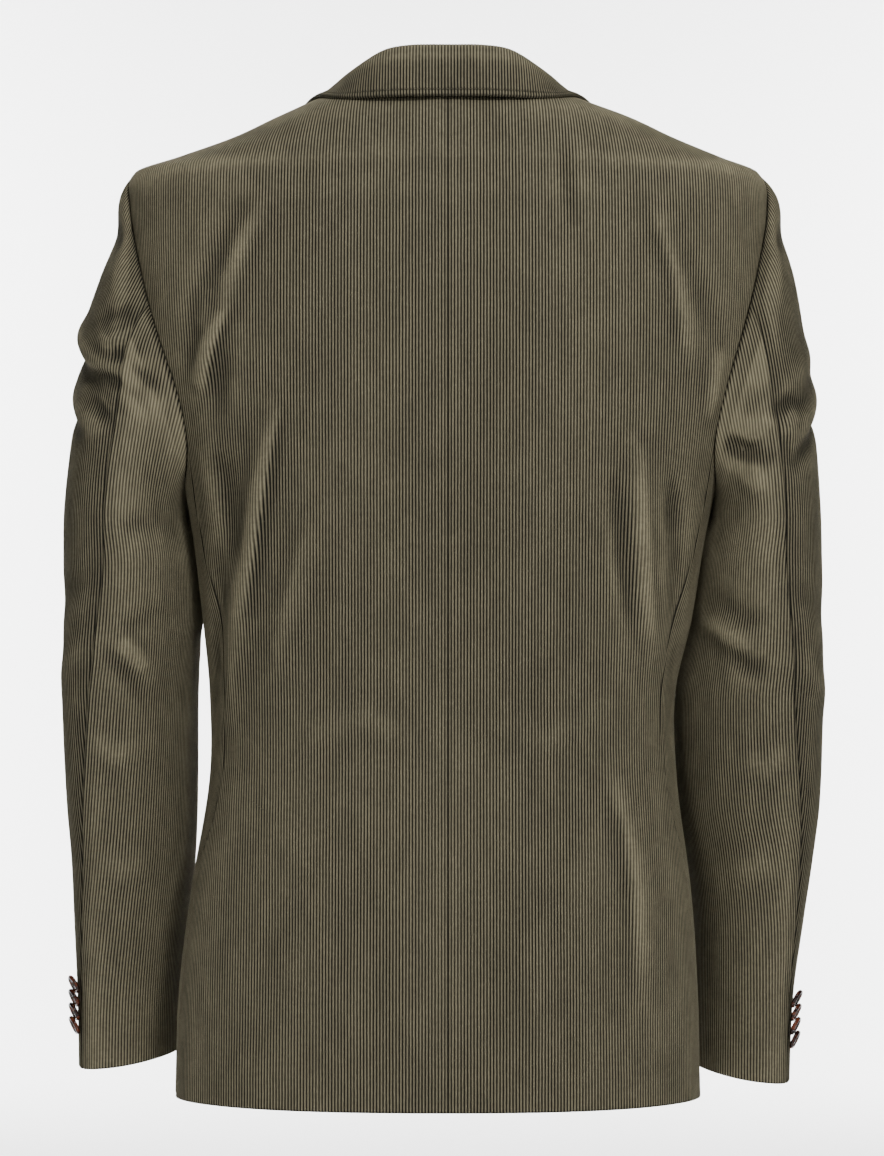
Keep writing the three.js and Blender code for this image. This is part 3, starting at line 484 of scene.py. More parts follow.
@dataclass
class Quarter:
    """A quarter of the body's rounded sections, tabled by height and distance from its middle."""

    form: Profile
    width_name: str
    depth_name: str
    power_name: str
    levels: Array = field(default_factory=lambda: np.arange(HEM_Z - 9, NECK_Z + 3, 1.0))
    turns: Array = field(default_factory=lambda: np.linspace(0, math.pi / 2, 161))
    samples: int = 256

    def __post_init__(self) -> None:
        """Fill the tables of lengths and places."""
        half, depth, power = (
            self.form.at(name, self.levels)[:, None]
            for name in (self.width_name, self.depth_name, self.power_name)
        )
        x = half * np.sin(self.turns) ** (2 / power)
        y = depth * np.cos(self.turns).clip(0) ** (2 / power)
        steps = np.hypot(np.diff(x, axis=1), np.diff(y, axis=1))
        self.lengths = np.concatenate([np.zeros((len(x), 1)), steps.cumsum(axis=1)], axis=1)
        shares = np.linspace(0, 1, self.samples + 1)
        self.x = np.empty((len(x), self.samples + 1))
        self.y = np.empty_like(self.x)
        for k, line in enumerate(self.lengths):
            self.x[k] = np.interp(shares, line / line[-1], x[k])
            self.y[k] = np.interp(shares, line / line[-1], y[k])

    def level(self, z: Array) -> tuple[Array, Array]:
        """The table's level below each height, and the share of a level above it."""
        place = np.clip((z - self.levels[0]), 0, len(self.levels) - 1.001)
        low = place.astype(int)
        return low, place - low

    def total(self, z: Array) -> Array:
        """How long the quarter is at heights."""
        return np.interp(z, self.levels, self.lengths[:, -1])

    def place(self, u: Array, z: Array) -> tuple[Array, Array]:
        """Where the cloth is at distances from the quarter's middle.

        Args:
            u: the distances, at 0 or more.
            z: the heights.

        Returns:
            How far across and how deep it is.
        """
        low, rise = self.level(z)
        along = np.clip(u / self.total(z), 0, 1) * self.samples
        i = np.minimum(along.astype(int), self.samples - 1)
        part = along - i
        found = []
        for table in (self.x, self.y):
            under = mix(table[low, i], table[low, i + 1], part)
            over = mix(table[low + 1, i], table[low + 1, i + 1], part)
            found.append(mix(under, over, rise))
        return found[0], found[1]

    def length_at_turn(self, turn: Array, z: Array) -> Array:
        """The distance from the middle at which a quarter has turned by an angle.

        Args:
            turn: the angles, from 0 to a right angle.
            z: the heights.

        Returns:
            The distances.
        """
        low, rise = self.level(z)
        along = np.clip(turn / self.turns[1], 0, len(self.turns) - 1)
        i = np.minimum(along.astype(int), len(self.turns) - 2)
        part = along - i
        under = mix(self.lengths[low, i], self.lengths[low, i + 1], part)
        over = mix(self.lengths[low + 1, i], self.lengths[low + 1, i + 1], part)
        return mix(under, over, rise)

    def length_at_depth(self, depth: Array, z: Array) -> Array:
        """The distance from the middle at which the section is so deep."""
        share = np.clip(depth / self.form.at(self.depth_name, z), 0, 1)
        turn = np.arccos(share ** (self.form.at(self.power_name, z) / 2))
        return self.length_at_turn(turn, z)

    def length_at_width(self, width: Array, z: Array) -> Array:
        """The distance from the middle at which the section is so wide."""
        share = np.clip(width / self.form.at(self.width_name, z), 0, 1)
        turn = np.arcsin(share ** (self.form.at(self.power_name, z) / 2))
        return self.length_at_turn(turn, z)


def crossed(surface: Surface, u: Array, z: Array, step: float = 0.5) -> Array:
    """Unit normals of a surface, from the cross product of its two directions.

    Args:
        surface: gives points for distances round and heights.
        u: distances round.
        z: heights.
        step: how far to each side the surface is read.

    Returns:
        One unit vector for each place.
    """
    around = surface(u + step, z) - surface(u - step, z)
    up = surface(u, z + step) - surface(u, z - step)
    normal = np.cross(around, up)
    return normal / np.linalg.norm(normal, axis=-1, keepdims=True).clip(1e-9)


@dataclass
class BodyForm:
    """One half of the body, by distance round it from centre back and by height."""

    hand: Hand
    folds: tuple[Fold, ...] = ()
    creases: tuple[Crease, ...] = ()

    def __post_init__(self) -> None:
        """Table the back and front quarters."""
        word = self.hand.word
        self.back = Quarter(BODY, word, "back", "back_power")
        self.front = Quarter(BODY, word, "front", "front_power")

    def whole(self, z: Array) -> Array:
        """The distance from centre back to centre front."""
        return self.back.total(z) + self.front.total(z)

    def point(self, u: Array, z: Array) -> Array:
        """Points of the body.

        Args:
            u: distances round it from centre back, past the middle where below 0.
            z: heights.

        Returns:
            One point for each place.
        """
        u, z = np.broadcast_arrays(np.asarray(u, float), np.asarray(z, float))
        mid = BODY.at("mid", z)
        left = self.whole(z) - u
        behind = u <= self.back.total(z)
        back_x, back_y = self.back.place(np.abs(u), z)
        front_x, front_y = self.front.place(np.abs(left), z)
        x = np.where(behind, back_x * np.where(u < 0, -1, 1), front_x * np.where(left < 0, -1, 1))
        y = np.where(behind, mid + back_y, mid - front_y)
        return np.stack([self.hand.sign * x, y, z], axis=-1)

    def normal(self, u: Array, z: Array) -> Array:
        """Outward unit normals of the body."""
        return crossed(self.point, u, z) * -self.hand.sign

    def cloth(self, u: Array, z: Array, lift: Array) -> tuple[Array, Array]:
        """Points of the cloth on the body, and its normals.

        Args:
            u: distances round it from centre back.
            z: heights.
            lift: how far the cloth is carried off the body.

        Returns:
            The points, and the body's unit normals there.
        """
        point, normal = self.point(u, z), self.normal(u, z)
        out = push_of(self.folds, u, z) + lift
        across = self.hand.sign * point[..., 0]
        behind = smooth(*BACK_FADE, point[..., 1])
        for crease in self.creases:
            out = out + crease.push(across, z) * behind
        return point + normal * out[..., None], normal

    def armhole_back(self, z: Array) -> Array:
        """The distance round the body to the armhole's rear edge."""
        depth = ARMHOLE_Y + armhole_depth(z) - BODY.at("mid", z)
        return self.back.length_at_depth(depth, z)

    def armhole_front(self, z: Array) -> Array:
        """The distance round the body to the armhole's front edge."""
        depth = BODY.at("mid", z) - (ARMHOLE_Y - armhole_depth(z))
        return self.whole(z) - self.front.length_at_depth(depth, z)

    def back_seam(self, z: Array) -> Array:
        """The distance round the body to the seam between back and side panel."""
        low = SIDE_SEAMS.at("back", z) * self.back.total(z)
        high = self.armhole_back(np.maximum(z, ARMHOLE_JOIN_Z))
        return mix(low, high, smooth(-400, ARMHOLE_JOIN_Z, z))

    def front_seam(self, z: Array) -> Array:
        """The distance round the body to the seam between side panel and front."""
        low = self.back.total(z) + self.front.total(z) * (1 - SIDE_SEAMS.at("front", z))
        high = self.armhole_front(np.maximum(z, ARMHOLE_JOIN_Z))
        return mix(low, high, smooth(-400, ARMHOLE_JOIN_Z, z))

    def armhole_floor(self, u: Array) -> Array:
        """The height of the armhole's lower edge at distances round the body."""
        heights = np.linspace(ARMHOLE_BOTTOM_Z, ARMHOLE_JOIN_Z, 240)
        behind = np.interp(u, self.armhole_back(heights)[::-1], heights[::-1])
        ahead = np.interp(u, self.armhole_front(heights), heights)
        return np.maximum(behind, ahead)

    def from_front(self, x: Array, z: Array) -> Array:
        """The distance from centre front of a place that is so far across."""
        length = self.front.length_at_width(np.abs(x), z)
        return np.where(np.asarray(x) < 0, -length, length)

    def front_lift(self, u: Array, z: Array) -> Array:
        """How far a front is lifted where the left one laps over the right one."""
        away = self.whole(z) + EDGE_OVERLAP - u
        shut = 1 - smooth(CROSS_Z, CROSS_Z + VENT_RAMP, z)
        return self.hand.sign * lap_lift(away, EDGE_OVERLAP + LAP_FADE) * shut


def armhole_depth(z: Array) -> Array:
    """Half the armhole's width at heights."""
    up = np.clip((z - ARMHOLE_MIDDLE_Z) / ARMHOLE_HALF_HEIGHT, -1, 1)
    return ARMHOLE_HALF_WIDTH * np.sqrt(1 - up * up) * (1 - ARMHOLE_TAPER * up)


def lap_lift(away: Array, fade: float) -> Array:
    """How far two lapped layers stand apart, from the lap's edge to where they are one."""
    return (WALL / 2 + LAYER) * (1 - smooth(fade * 0.35, fade, away))


def vent_ramp(z: Array) -> Array:
    """The share of the vent's lap that there is at heights."""
    return 1 - smooth(VENT_Z - VENT_RAMP, VENT_Z, z)


def vent_lift(z: Array) -> Array:
    """The share of the vent's lift that there is at heights."""
    return 1 - smooth(VENT_Z, VENT_Z + VENT_RAMP, z)


def roll_width(z: Array) -> Array:
    """How far across the front's roll line is at heights."""
    return mix(-EDGE_OVERLAP, NECK_HALF_WIDTH - 1, (z - BREAK_Z) / (NECK_Z - BREAK_Z))


def lapel_width(z: Array) -> Array:
    """How far across the lapel's outer edge is at heights."""
    top = mix(LAPEL_TIP[0], GORGE[0], (z - LAPEL_TIP[1]) / (GORGE[1] - LAPEL_TIP[1]))
    up = (z - BREAK_Z) / (LAPEL_TIP[1] - BREAK_Z)
    edge = mix(-EDGE_OVERLAP, LAPEL_TIP[0], up) + LAPEL_BELLY * np.sin(math.pi * up.clip(0, 1))
    return np.where(z > LAPEL_TIP[1], top, edge)


@dataclass
class SleeveForm:
    """One sleeve, by its angle from straight back towards the outside, and by height."""

    hand: Hand
    body: BodyForm
    folds: tuple[Fold, ...] = ()
    creases: tuple[Crease, ...] = ()
    angles: Array = field(default_factory=lambda: np.radians(np.linspace(-180, 250, 861)))
    samples: int = 400

    def __post_init__(self) -> None:
        """Table where the sleeve meets the armhole, and its angles by distance round it."""
        self.meet_angles = np.radians(np.linspace(-180, 180, 1441))
        behind = np.cos(self.meet_angles) >= 0
        z = ARMHOLE_MIDDLE_Z + (ARMHOLE_HALF_HEIGHT - ARMHOLE_INSET) * np.sin(self.meet_angles)
        seam = np.where(behind, self.body.armhole_back(z), self.body.armhole_front(z))
        u = seam + ARMHOLE_INSET * np.cos(self.meet_angles)
        seat = self.body.point(u, z) + self.body.normal(u, z) * ARMHOLE_CLEAR
        outside = ARMHOLE_INSET * np.maximum(0, np.sin(self.meet_angles))
        x, y = self.ring(self.meet_angles, z)
        self.meet_z = z
        self.meet_dx = np.abs(seat[:, 0]) + outside - x
        self.meet_dy = seat[:, 1] - y
        self.meet_reach = mix(62, 34, np.maximum(0, np.sin(self.meet_angles)))
        self.levels = np.arange(-745, -49, 3.0)
        points = self.base(self.angles[None, :], self.levels[:, None])
        steps = np.linalg.norm(np.diff(points, axis=1), axis=-1)
        start = np.zeros((len(points), 1))
        self.lengths = np.concatenate([start, steps.cumsum(axis=1)], axis=1)
        shares = np.linspace(0, 1, self.samples + 1)
        turned = [np.interp(shares, line / line[-1], self.angles) for line in self.lengths]
        self.turned = np.array(turned)

    def ring(self, angle: Array, z: Array) -> tuple[Array, Array]:
        """The sleeve's outline before the armhole draws it in.

        Args:
            angle: the angles.
            z: the heights.

        Returns:
            How far outwards and how far back it is.
        """
        outside = SLEEVE.at(self.hand.word, z)
        inside = SLEEVE.at("in_" + self.hand.word, z)
        depth = SLEEVE.at("half_depth", z)
        turn = SLEEVE_TURN * (1 - smooth(SLEEVE_TURN_FOOT_Z, SLEEVE_TURN_TOP_Z, z))
        half = np.sqrt(((outside - inside) / 2) ** 2 - (turn * depth) ** 2)
        across, back = np.sin(angle), np.cos(angle)
        power = 2 / SLEEVE_POWER
        y = depth * np.sign(back) * np.abs(back) ** power
        x = (outside + inside) / 2 + half * np.sign(across) * np.abs(across) ** power + turn * y
        return x, SLEEVE.at("mid", z) + y

    def met(self, table: Array, angle: Array) -> Array:
        """Read one of the armhole's tables at angles."""
        around = np.mod(angle + math.pi, 2 * math.pi) - math.pi
        return np.interp(around, self.meet_angles, table)

    def base(self, angle: Array, z: Array) -> Array:
        """Points of the sleeve without its folds."""
        x, y = self.ring(angle, z)
        down = np.clip((self.met(self.meet_z, angle) - z) / self.met(self.meet_reach, angle), 0, 1)
        draw = (1 - down) ** 2.5
        x = x + self.met(self.meet_dx, angle) * draw
        y = y + self.met(self.meet_dy, angle) * draw
        return np.stack(np.broadcast_arrays(self.hand.sign * x, y, z), axis=-1)

    def cloth(self, angle: Array, z: Array) -> tuple[Array, Array]:
        """Points of the sleeve's cloth, and its normals.

        Args:
            angle: the angles.
            z: the heights.

        Returns:
            The points with their folds, and outward unit normals.
        """
        drop = np.minimum(z, self.met(self.meet_z, angle) - 1)
        around = self.base(angle + 0.02, drop - 1) - self.base(angle - 0.02, drop - 1)
        along = self.base(angle, drop - 1) - self.base(angle, drop - 3)
        normal = np.cross(around, along)
        normal *= -self.hand.sign / np.linalg.norm(normal, axis=-1, keepdims=True)
        fade = smooth(0, 14, self.met(self.meet_z, angle) - z)
        around = (math.pi / 2 - angle) * SLEEVE_RADIUS
        out = push_of(self.folds, around, z) * fade
        rest = SLEEVE_REST[self.hand].at("push", z)
        out = out + rest * np.exp(-(((around - REST_PLACE) / REST_WIDTH) ** 2))
        point = self.base(angle, z)
        behind = fade * smooth(*HIND_FADE, point[..., 1] - SLEEVE.at("mid", z))
        for crease in self.creases:
            out = out + crease.push(self.hand.sign * point[..., 0], z) * behind
        return point + normal * out[..., None], normal

    def distance(self, angle: Array, z: Array) -> Array:
        """The distance round the sleeve from straight in front on its inside to angles."""
        place = np.clip((z - self.levels[0]) / 3.0, 0, len(self.levels) - 1.001)
        low = place.astype(int)
        along = (angle - self.angles[0]) / (self.angles[1] - self.angles[0])
        i = np.clip(along.astype(int), 0, len(self.angles) - 2)
        part = along - i
        under = mix(self.lengths[low, i], self.lengths[low, i + 1], part)
        over = mix(self.lengths[low + 1, i], self.lengths[low + 1, i + 1], part)
        return mix(under, over, place - low)

    def angle(self, distance: Array, z: Array) -> Array:
        """The angle at distances round the sleeve.

        Args:
            distance: the distances, measured as in distance().
            z: the heights.

        Returns:
            The angles.
        """
        place = np.clip((z - self.levels[0]) / 3.0, 0, len(self.levels) - 1.001)
        low = place.astype(int)
        total = np.interp(z, self.levels, self.lengths[:, -1])
        along = np.clip(distance / total, 0, 1) * self.samples
        i = np.minimum(along.astype(int), self.samples - 1)
        part = along - i
        under = mix(self.turned[low, i], self.turned[low, i + 1], part)
        over = mix(self.turned[low + 1, i], self.turned[low + 1, i + 1], part)
        return mix(under, over, place - low)

    def hind(self, z: Array) -> Array:
        """The angle of the hind-arm seam at heights."""
        return np.radians(SLEEVE.at("hind", z))

    def seam_angle(self, z: Array) -> Array:
        """Half the seam's gap, as an angle."""
        return (SEAM / 2) / SLEEVE.at("half_depth", z)

    def cuff_rise(self, angle: Array, z: Array) -> Array:
        """How far the cloth is raised where the cuff slants."""
        near = 1 - smooth(CUFF_Z[self.hand], CUFF_SLIT_Z, z)
        return CUFF_SLANT * near * (0.5 - 0.5 * np.cos(angle - self.hind(z)))


@dataclass(frozen=True)
class Wales:
    """The cord's ribs: how far apart they are, how deep between, and how a seam is rolled in."""

    pitch: float = 25.4 / 11
    columns: int = 3
    depth: float = 0.4
    roll: float = 0.8
    roll_width: float = 1.8

    @property
    def step(self) -> float:
        """The distance from one column of the grid to the next."""
        return self.pitch / self.columns


WALES = Wales()
# The reach, the allowance for the cloth's own curve and the full size of the ridge and trough measure,
# which goes into the cord's colour as a painted highlight on ridges and painted shade in troughs.
CREASE_LIGHT_REACH = 8.0
CREASE_LIGHT_FLAT = 0.35
CREASE_LIGHT_FULL = 1.8
# Painted shade along the edges, seams and stitch lines, and how far in from the edge it fades.
SEAM_SHADE = 1.3
SEAM_SHADE_FADE = (0.5, 1.7)
STITCH_DIP_WIDTH = 0.8
INNER_COLUMNS = 12


@dataclass
class Strip:
    """A piece of cloth as a grid: rows of heights, and how far each row goes to either side.

    The surface gives points and unit normals for distances along a row and rows.
    """

    rows: Array
    low: Array
    high: Array
    surface: Callable[[Array, Array], tuple[Array, Array]]

    def columns(self, every: int) -> tuple[Array, Array, Array]:
        """Lay columns over the strip, on the lattice of its wales.

        Args:
            every: how many of the lattice's steps there are from one column to the next.

        Returns:
            The distance of each place along its row, its number in the lattice, and the index
            of the vertex there; places past a row's end share the vertex at that end.
        """
        step = WALES.step * every
        first = math.floor(self.low.min() / step)
        last = math.ceil(self.high.max() / step)
        numbers = np.arange(first, last + 1)
        at = numbers * step
        start = np.searchsorted(at, self.low + 1e-6, side="right") - 1
        end = np.searchsorted(at, self.high - 1e-6, side="left")
        start = np.clip(start, 0, len(at) - 1)
        end = np.clip(end, 0, len(at) - 1)
        along = np.clip(at[None, :], self.low[:, None], self.high[:, None])
        spread = np.arange(len(at))[None, :]
        index = np.clip(spread, start[:, None], end[:, None])
        counts = end - start + 1
        offset = np.concatenate([[0], counts.cumsum()[:-1]])
        return along, np.broadcast_to(numbers * every, along.shape), (
            index - start[:, None] + offset[:, None]
        )

    def cut(self) -> tuple[float, float, float]:
        """The width, length and area of the cloth that shows, laid flat, in metres."""
        share = np.linspace(0, 1, 13)[None, :]
        along = mix(self.low[:, None], self.high[:, None], share)
        points, _ = self.surface(along, np.broadcast_to(self.rows[:, None], along.shape))
        across, down = np.diff(points, axis=1), np.diff(points, axis=0)
        quads = np.cross(across[:-1], down[:, :-1]), np.cross(across[1:], down[:, 1:])
        area = sum(np.linalg.norm(quad, axis=-1).sum() for quad in quads) / 2
        width = np.linalg.norm(across, axis=-1).sum(axis=1).max()
        length = np.linalg.norm(down, axis=-1).sum(axis=0).max()
        return width * METRES, length * METRES, area * METRES**2


def unique_places(index: Array) -> tuple[Array, Array]:
    """The first place in a grid of each vertex that the grid names, as rows and columns."""
    _, first = np.unique(index.ravel(), return_index=True)
    return np.divmod(first, index.shape[1])


def grid_faces(index: Array, turned: bool) -> Array:
    """Triangles over a grid of vertices, without the ones that a shared vertex closes up.

    Args:
        index: the vertex at each place.
        turned: whether the faces look the other way.

    Returns:
        Three vertices for each triangle.
    """
    a, b = index[:-1, :-1].ravel(), index[:-1, 1:].ravel()
    c, d = index[1:, 1:].ravel(), index[1:, :-1].ravel()
    faces = np.concatenate([np.stack([a, b, c], 1), np.stack([a, c, d], 1)])
    kept = (faces[:, 0] != faces[:, 1]) & (faces[:, 1] != faces[:, 2])
    faces = faces[kept & (faces[:, 2] != faces[:, 0])]
    return faces[:, ::-1] if turned else faces


def zipped(first: Array, second: Array, first_at: Array, second_at: Array) -> list:
    """Triangles between two lines of vertices that run side by side.

    Args:
        first: the vertices of one line.
        second: the vertices of the other line.
        first_at: how far along each of the first line's vertices is.
        second_at: how far along each of the second line's vertices is.

    Returns:
        Three vertices for each triangle.
    """
    faces = []
    i = j = 0
    while i < len(first) - 1 or j < len(second) - 1:
        ahead = j >= len(second) - 1 or (
            i < len(first) - 1 and first_at[i + 1] <= second_at[j + 1]
        )
        if ahead:
            faces.append((first[i], first[i + 1], second[j]))
            i += 1
        else:
            faces.append((first[i], second[j + 1], second[j]))
            j += 1
    return faces


def row_line(index: Array, along: Array) -> tuple[Array, Array]:
    """The vertices of one row of a grid in order, and how far along each one is."""
    names, first = np.unique(index, return_index=True)
    return names, along[first]


def signed_volume(points: Array, faces: Array) -> float:
    """Six times the volume inside triangles, which is below 0 where they face inwards."""
    a, b, c = (points[faces[:, k]] for k in range(3))
    return float(np.einsum("ij,ij->i", a, np.cross(b, c)).sum())


def from_edge(strip: Strip, along: Array) -> Array:
    """How far from a strip's nearest edge each place is.

    Args:
        strip: the strip.
        along: the distance of each place along its row.

    Returns:
        The distances, in millimetres.
    """
    lean = []
    for edge in (strip.low, strip.high):
        slope = np.gradient(edge) / np.gradient(strip.rows).clip(1e-3)
        lean.append(np.hypot(1, slope)[:, None])
    near = np.minimum(
        (along - strip.low[:, None]) / lean[0], (strip.high[:, None] - along) / lean[1]
    )
    ends = np.minimum(strip.rows - strip.rows[0], strip.rows[-1] - strip.rows)[:, None]
    return np.minimum(near, np.broadcast_to(ends, near.shape))


def pressed(strip: Strip, along: Array, points: Array, normals: Array) -> Array:
    """How far the cloth stands out in a ridge, or in a trough where it is below 0; this goes into the
    cord's colour as a painted highlight on ridges and painted shade in troughs.

    Args:
        strip: the strip.
        along: the distance of each place along its row.
        points: the place's points.
        normals: their outward unit normals.

    Returns:
        From -1 in a deep trough to 1 on a sharp ridge.
    """
    count = round(CREASE_LIGHT_REACH / WALES.step)
    columns = np.arange(along.shape[1])
    left, right = np.maximum(columns - count, 0), np.minimum(columns + count, columns[-1])
    inside = (along - strip.low[:, None] > CREASE_LIGHT_REACH) & (
        strip.high[:, None] - along > CREASE_LIGHT_REACH
    )
    across = points - (points[:, left] + points[:, right]) / 2
    across = np.where(inside, np.einsum("rci,rci->rc", across, normals) - CREASE_LIGHT_FLAT, 0)
    numbers = np.arange(len(strip.rows))
    ends = []
    for reach in (-CREASE_LIGHT_REACH, CREASE_LIGHT_REACH):
        place = np.interp(strip.rows + reach, strip.rows, numbers)
        low = np.minimum(place.astype(int), len(numbers) - 2)
        part = (place - low)[:, None, None]
        ends.append(mix(points[low], points[low + 1], part))
    down = np.einsum("rci,rci->rc", points - (ends[0] + ends[1]) / 2, normals)
    clear = (strip.rows - strip.rows[0] > CREASE_LIGHT_REACH) & (strip.rows[-1] - strip.rows > CREASE_LIGHT_REACH)
    down = np.where(clear[:, None], down, 0)
    return np.clip((across + down) / CREASE_LIGHT_FULL, -1, 1)


def sew(
    name: str,
    strip: Strip,
    materials: Sequence[bpy.types.Material],
    nap: float = 0,
    stitch: float = 0,
) -> bpy.types.Object:
    """Make a piece of cloth from a strip: wales outside, a plain face inside and a rim, with painted
    light stored on its points.

    Args:
        name: the piece's name.
        strip: the strip.
        materials: the cord and its backing, in the order of Face.
        nap: how much lighter the whole piece is painted, or darker where it is below 0; this stands
            partly for the pile's direction and partly for painted shade.
        stitch: how far in from the edges the cloth is stitched down, or 0 where it isn't.

    Returns:
        The object, in the scene.
    """
    rows = strip.rows[:, None]
    along, number, index = strip.columns(1)
    points, normals = strip.surface(along, np.broadcast_to(rows, along.shape))
    groove = (number % WALES.columns == 0) & (along > strip.low[:, None] + 0.4)
    groove &= along < strip.high[:, None] - 0.4
    near = from_edge(strip, along)
    roll = WALES.roll * (1 - smooth(0, WALES.roll_width, near)) ** 1.5
    dip = np.exp(-(((near - stitch) / STITCH_DIP_WIDTH) ** 2))
    held = dip if stitch else np.zeros_like(near)
    sunk = np.where(groove, WALES.depth, 0) + roll + held * WALES.depth
    r, c = unique_places(index)
    outer = (points - normals * sunk[..., None])[r, c]
    outer_uv = np.stack([along[r, c], strip.rows[r]], axis=1)
    # Painted light: a highlight on ridges and shade in troughs, with painted shade along the edges and
    # in the stitch line, and the piece's whole painted darkening.
    shade = SEAM_SHADE * (1 - smooth(*SEAM_SHADE_FADE, near))
    press = pressed(strip, along, points, normals) - shade
    press = (press - held * SEAM_SHADE)[r, c] + nap

    in_along, _, in_index = strip.columns(INNER_COLUMNS)
    in_points, in_normals = strip.surface(in_along, np.broadcast_to(rows, in_along.shape))
    r, c = unique_places(in_index)
    inner = (in_points - in_normals * WALL)[r, c]
    inner_uv = np.stack([in_along[r, c], strip.rows[r]], axis=1)

    in_index = in_index + len(outer)
    front = grid_faces(index, False)
    back = grid_faces(in_index, True)
    rim = []
    for column in (0, -1):
        a, b = index[:, column], in_index[:, column]
        for j in range(len(a) - 1):
            pair = [(a[j], a[j + 1], b[j + 1]), (a[j], b[j + 1], b[j])]
            rim += pair if column == 0 else [face[::-1] for face in pair]
    for row in (0, -1):
        first, first_at = row_line(index[row], along[row])
        second, second_at = row_line(in_index[row], in_along[row])
        faces = zipped(first, second, first_at, second_at)
        rim += [face[::-1] for face in faces] if row == 0 else faces

    points = np.concatenate([outer, inner])
    faces = np.concatenate([front, np.array(rim), back])
    if signed_volume(points, faces) < 0:
        faces = faces[:, ::-1]
    finish = np.full(len(faces), Face.CORD.value)
    finish[len(front) + len(rim):] = Face.BACKING.value
    uv = np.concatenate([outer_uv, inner_uv])
    obj = make_object(name, points, faces, materials, finish, uv)
    # The painted light is stored as a point attribute that the cord's colour reads.
    layer = obj.data.attributes.new("press", "FLOAT", "POINT")
    layer.data.foreach_set("value", np.append(press, np.zeros(len(inner))).astype(np.float32))
    return obj


def make_object(
    name: str,
    points: Array,
    faces: Array,
    materials: Sequence[bpy.types.Material],
    finish: Array | None = None,
    uv: Array | None = None,
    sharp: float = 75,
) -> bpy.types.Object:
    """Make a smooth-shaded object of triangles.

    Args:
        name: the object's name.
        points: the vertices, in millimetres.
        faces: three vertices for each triangle.
        materials: the materials.
        finish: the material of each triangle; the first one where it is left out.
        uv: a distance round and a height for each vertex, in millimetres.
        sharp: the angle in degrees above which an edge is shaded sharp.

    Returns:
        The object, in the scene.
    """
    mesh = bpy.data.meshes.new(name)
    count = len(faces)
    mesh.vertices.add(len(points))
    mesh.vertices.foreach_set("co", (points * METRES).astype(np.float32).ravel())
    mesh.loops.add(3 * count)
    corners = np.ascontiguousarray(faces, dtype=np.int32).ravel()
    mesh.loops.foreach_set("vertex_index", corners)
    mesh.polygons.add(count)
    mesh.polygons.foreach_set("loop_start", np.arange(0, 3 * count, 3, dtype=np.int32))
    mesh.polygons.foreach_set("loop_total", np.full(count, 3, dtype=np.int32))
    if finish is not None:
        mesh.polygons.foreach_set("material_index", finish.astype(np.int32))
    mesh.polygons.foreach_set("use_smooth", np.ones(count, dtype=bool))
    if uv is not None:
        layer = mesh.uv_layers.new(name="cloth")
        layer.data.foreach_set("uv", (uv * METRES).astype(np.float32)[corners].ravel())
    for material in materials:
        mesh.materials.append(material)
    mesh.update()
    mesh.validate()
    mesh.set_sharp_from_angle(angle=math.radians(sharp))
    obj = bpy.data.objects.new(name, mesh)
    bpy.context.scene.collection.objects.link(obj)
    return obj


def steps_between(*stretches: tuple[float, float, float]) -> Array:
    """Heights from each stretch's start up to its end, at about its spacing.

    Args:
        stretches: the start, end and spacing of each stretch, each one going on from the last.

    Returns:
        The heights, with the last end among them.
    """
    rows = []
    for start, end, spacing in stretches:
        count = max(1, round((end - start) / spacing))
        rows.append(np.linspace(start, end, count, endpoint=False))
    rows.append(np.array([stretches[-1][1]]))
    return np.concatenate(rows)


def hem_rows(foot: float) -> tuple[tuple[float, float, float], ...]:
    """The close rows over a turned-up edge."""
    return ((foot, foot + 3, 0.6), (foot + 3, foot + 6, 1.5))


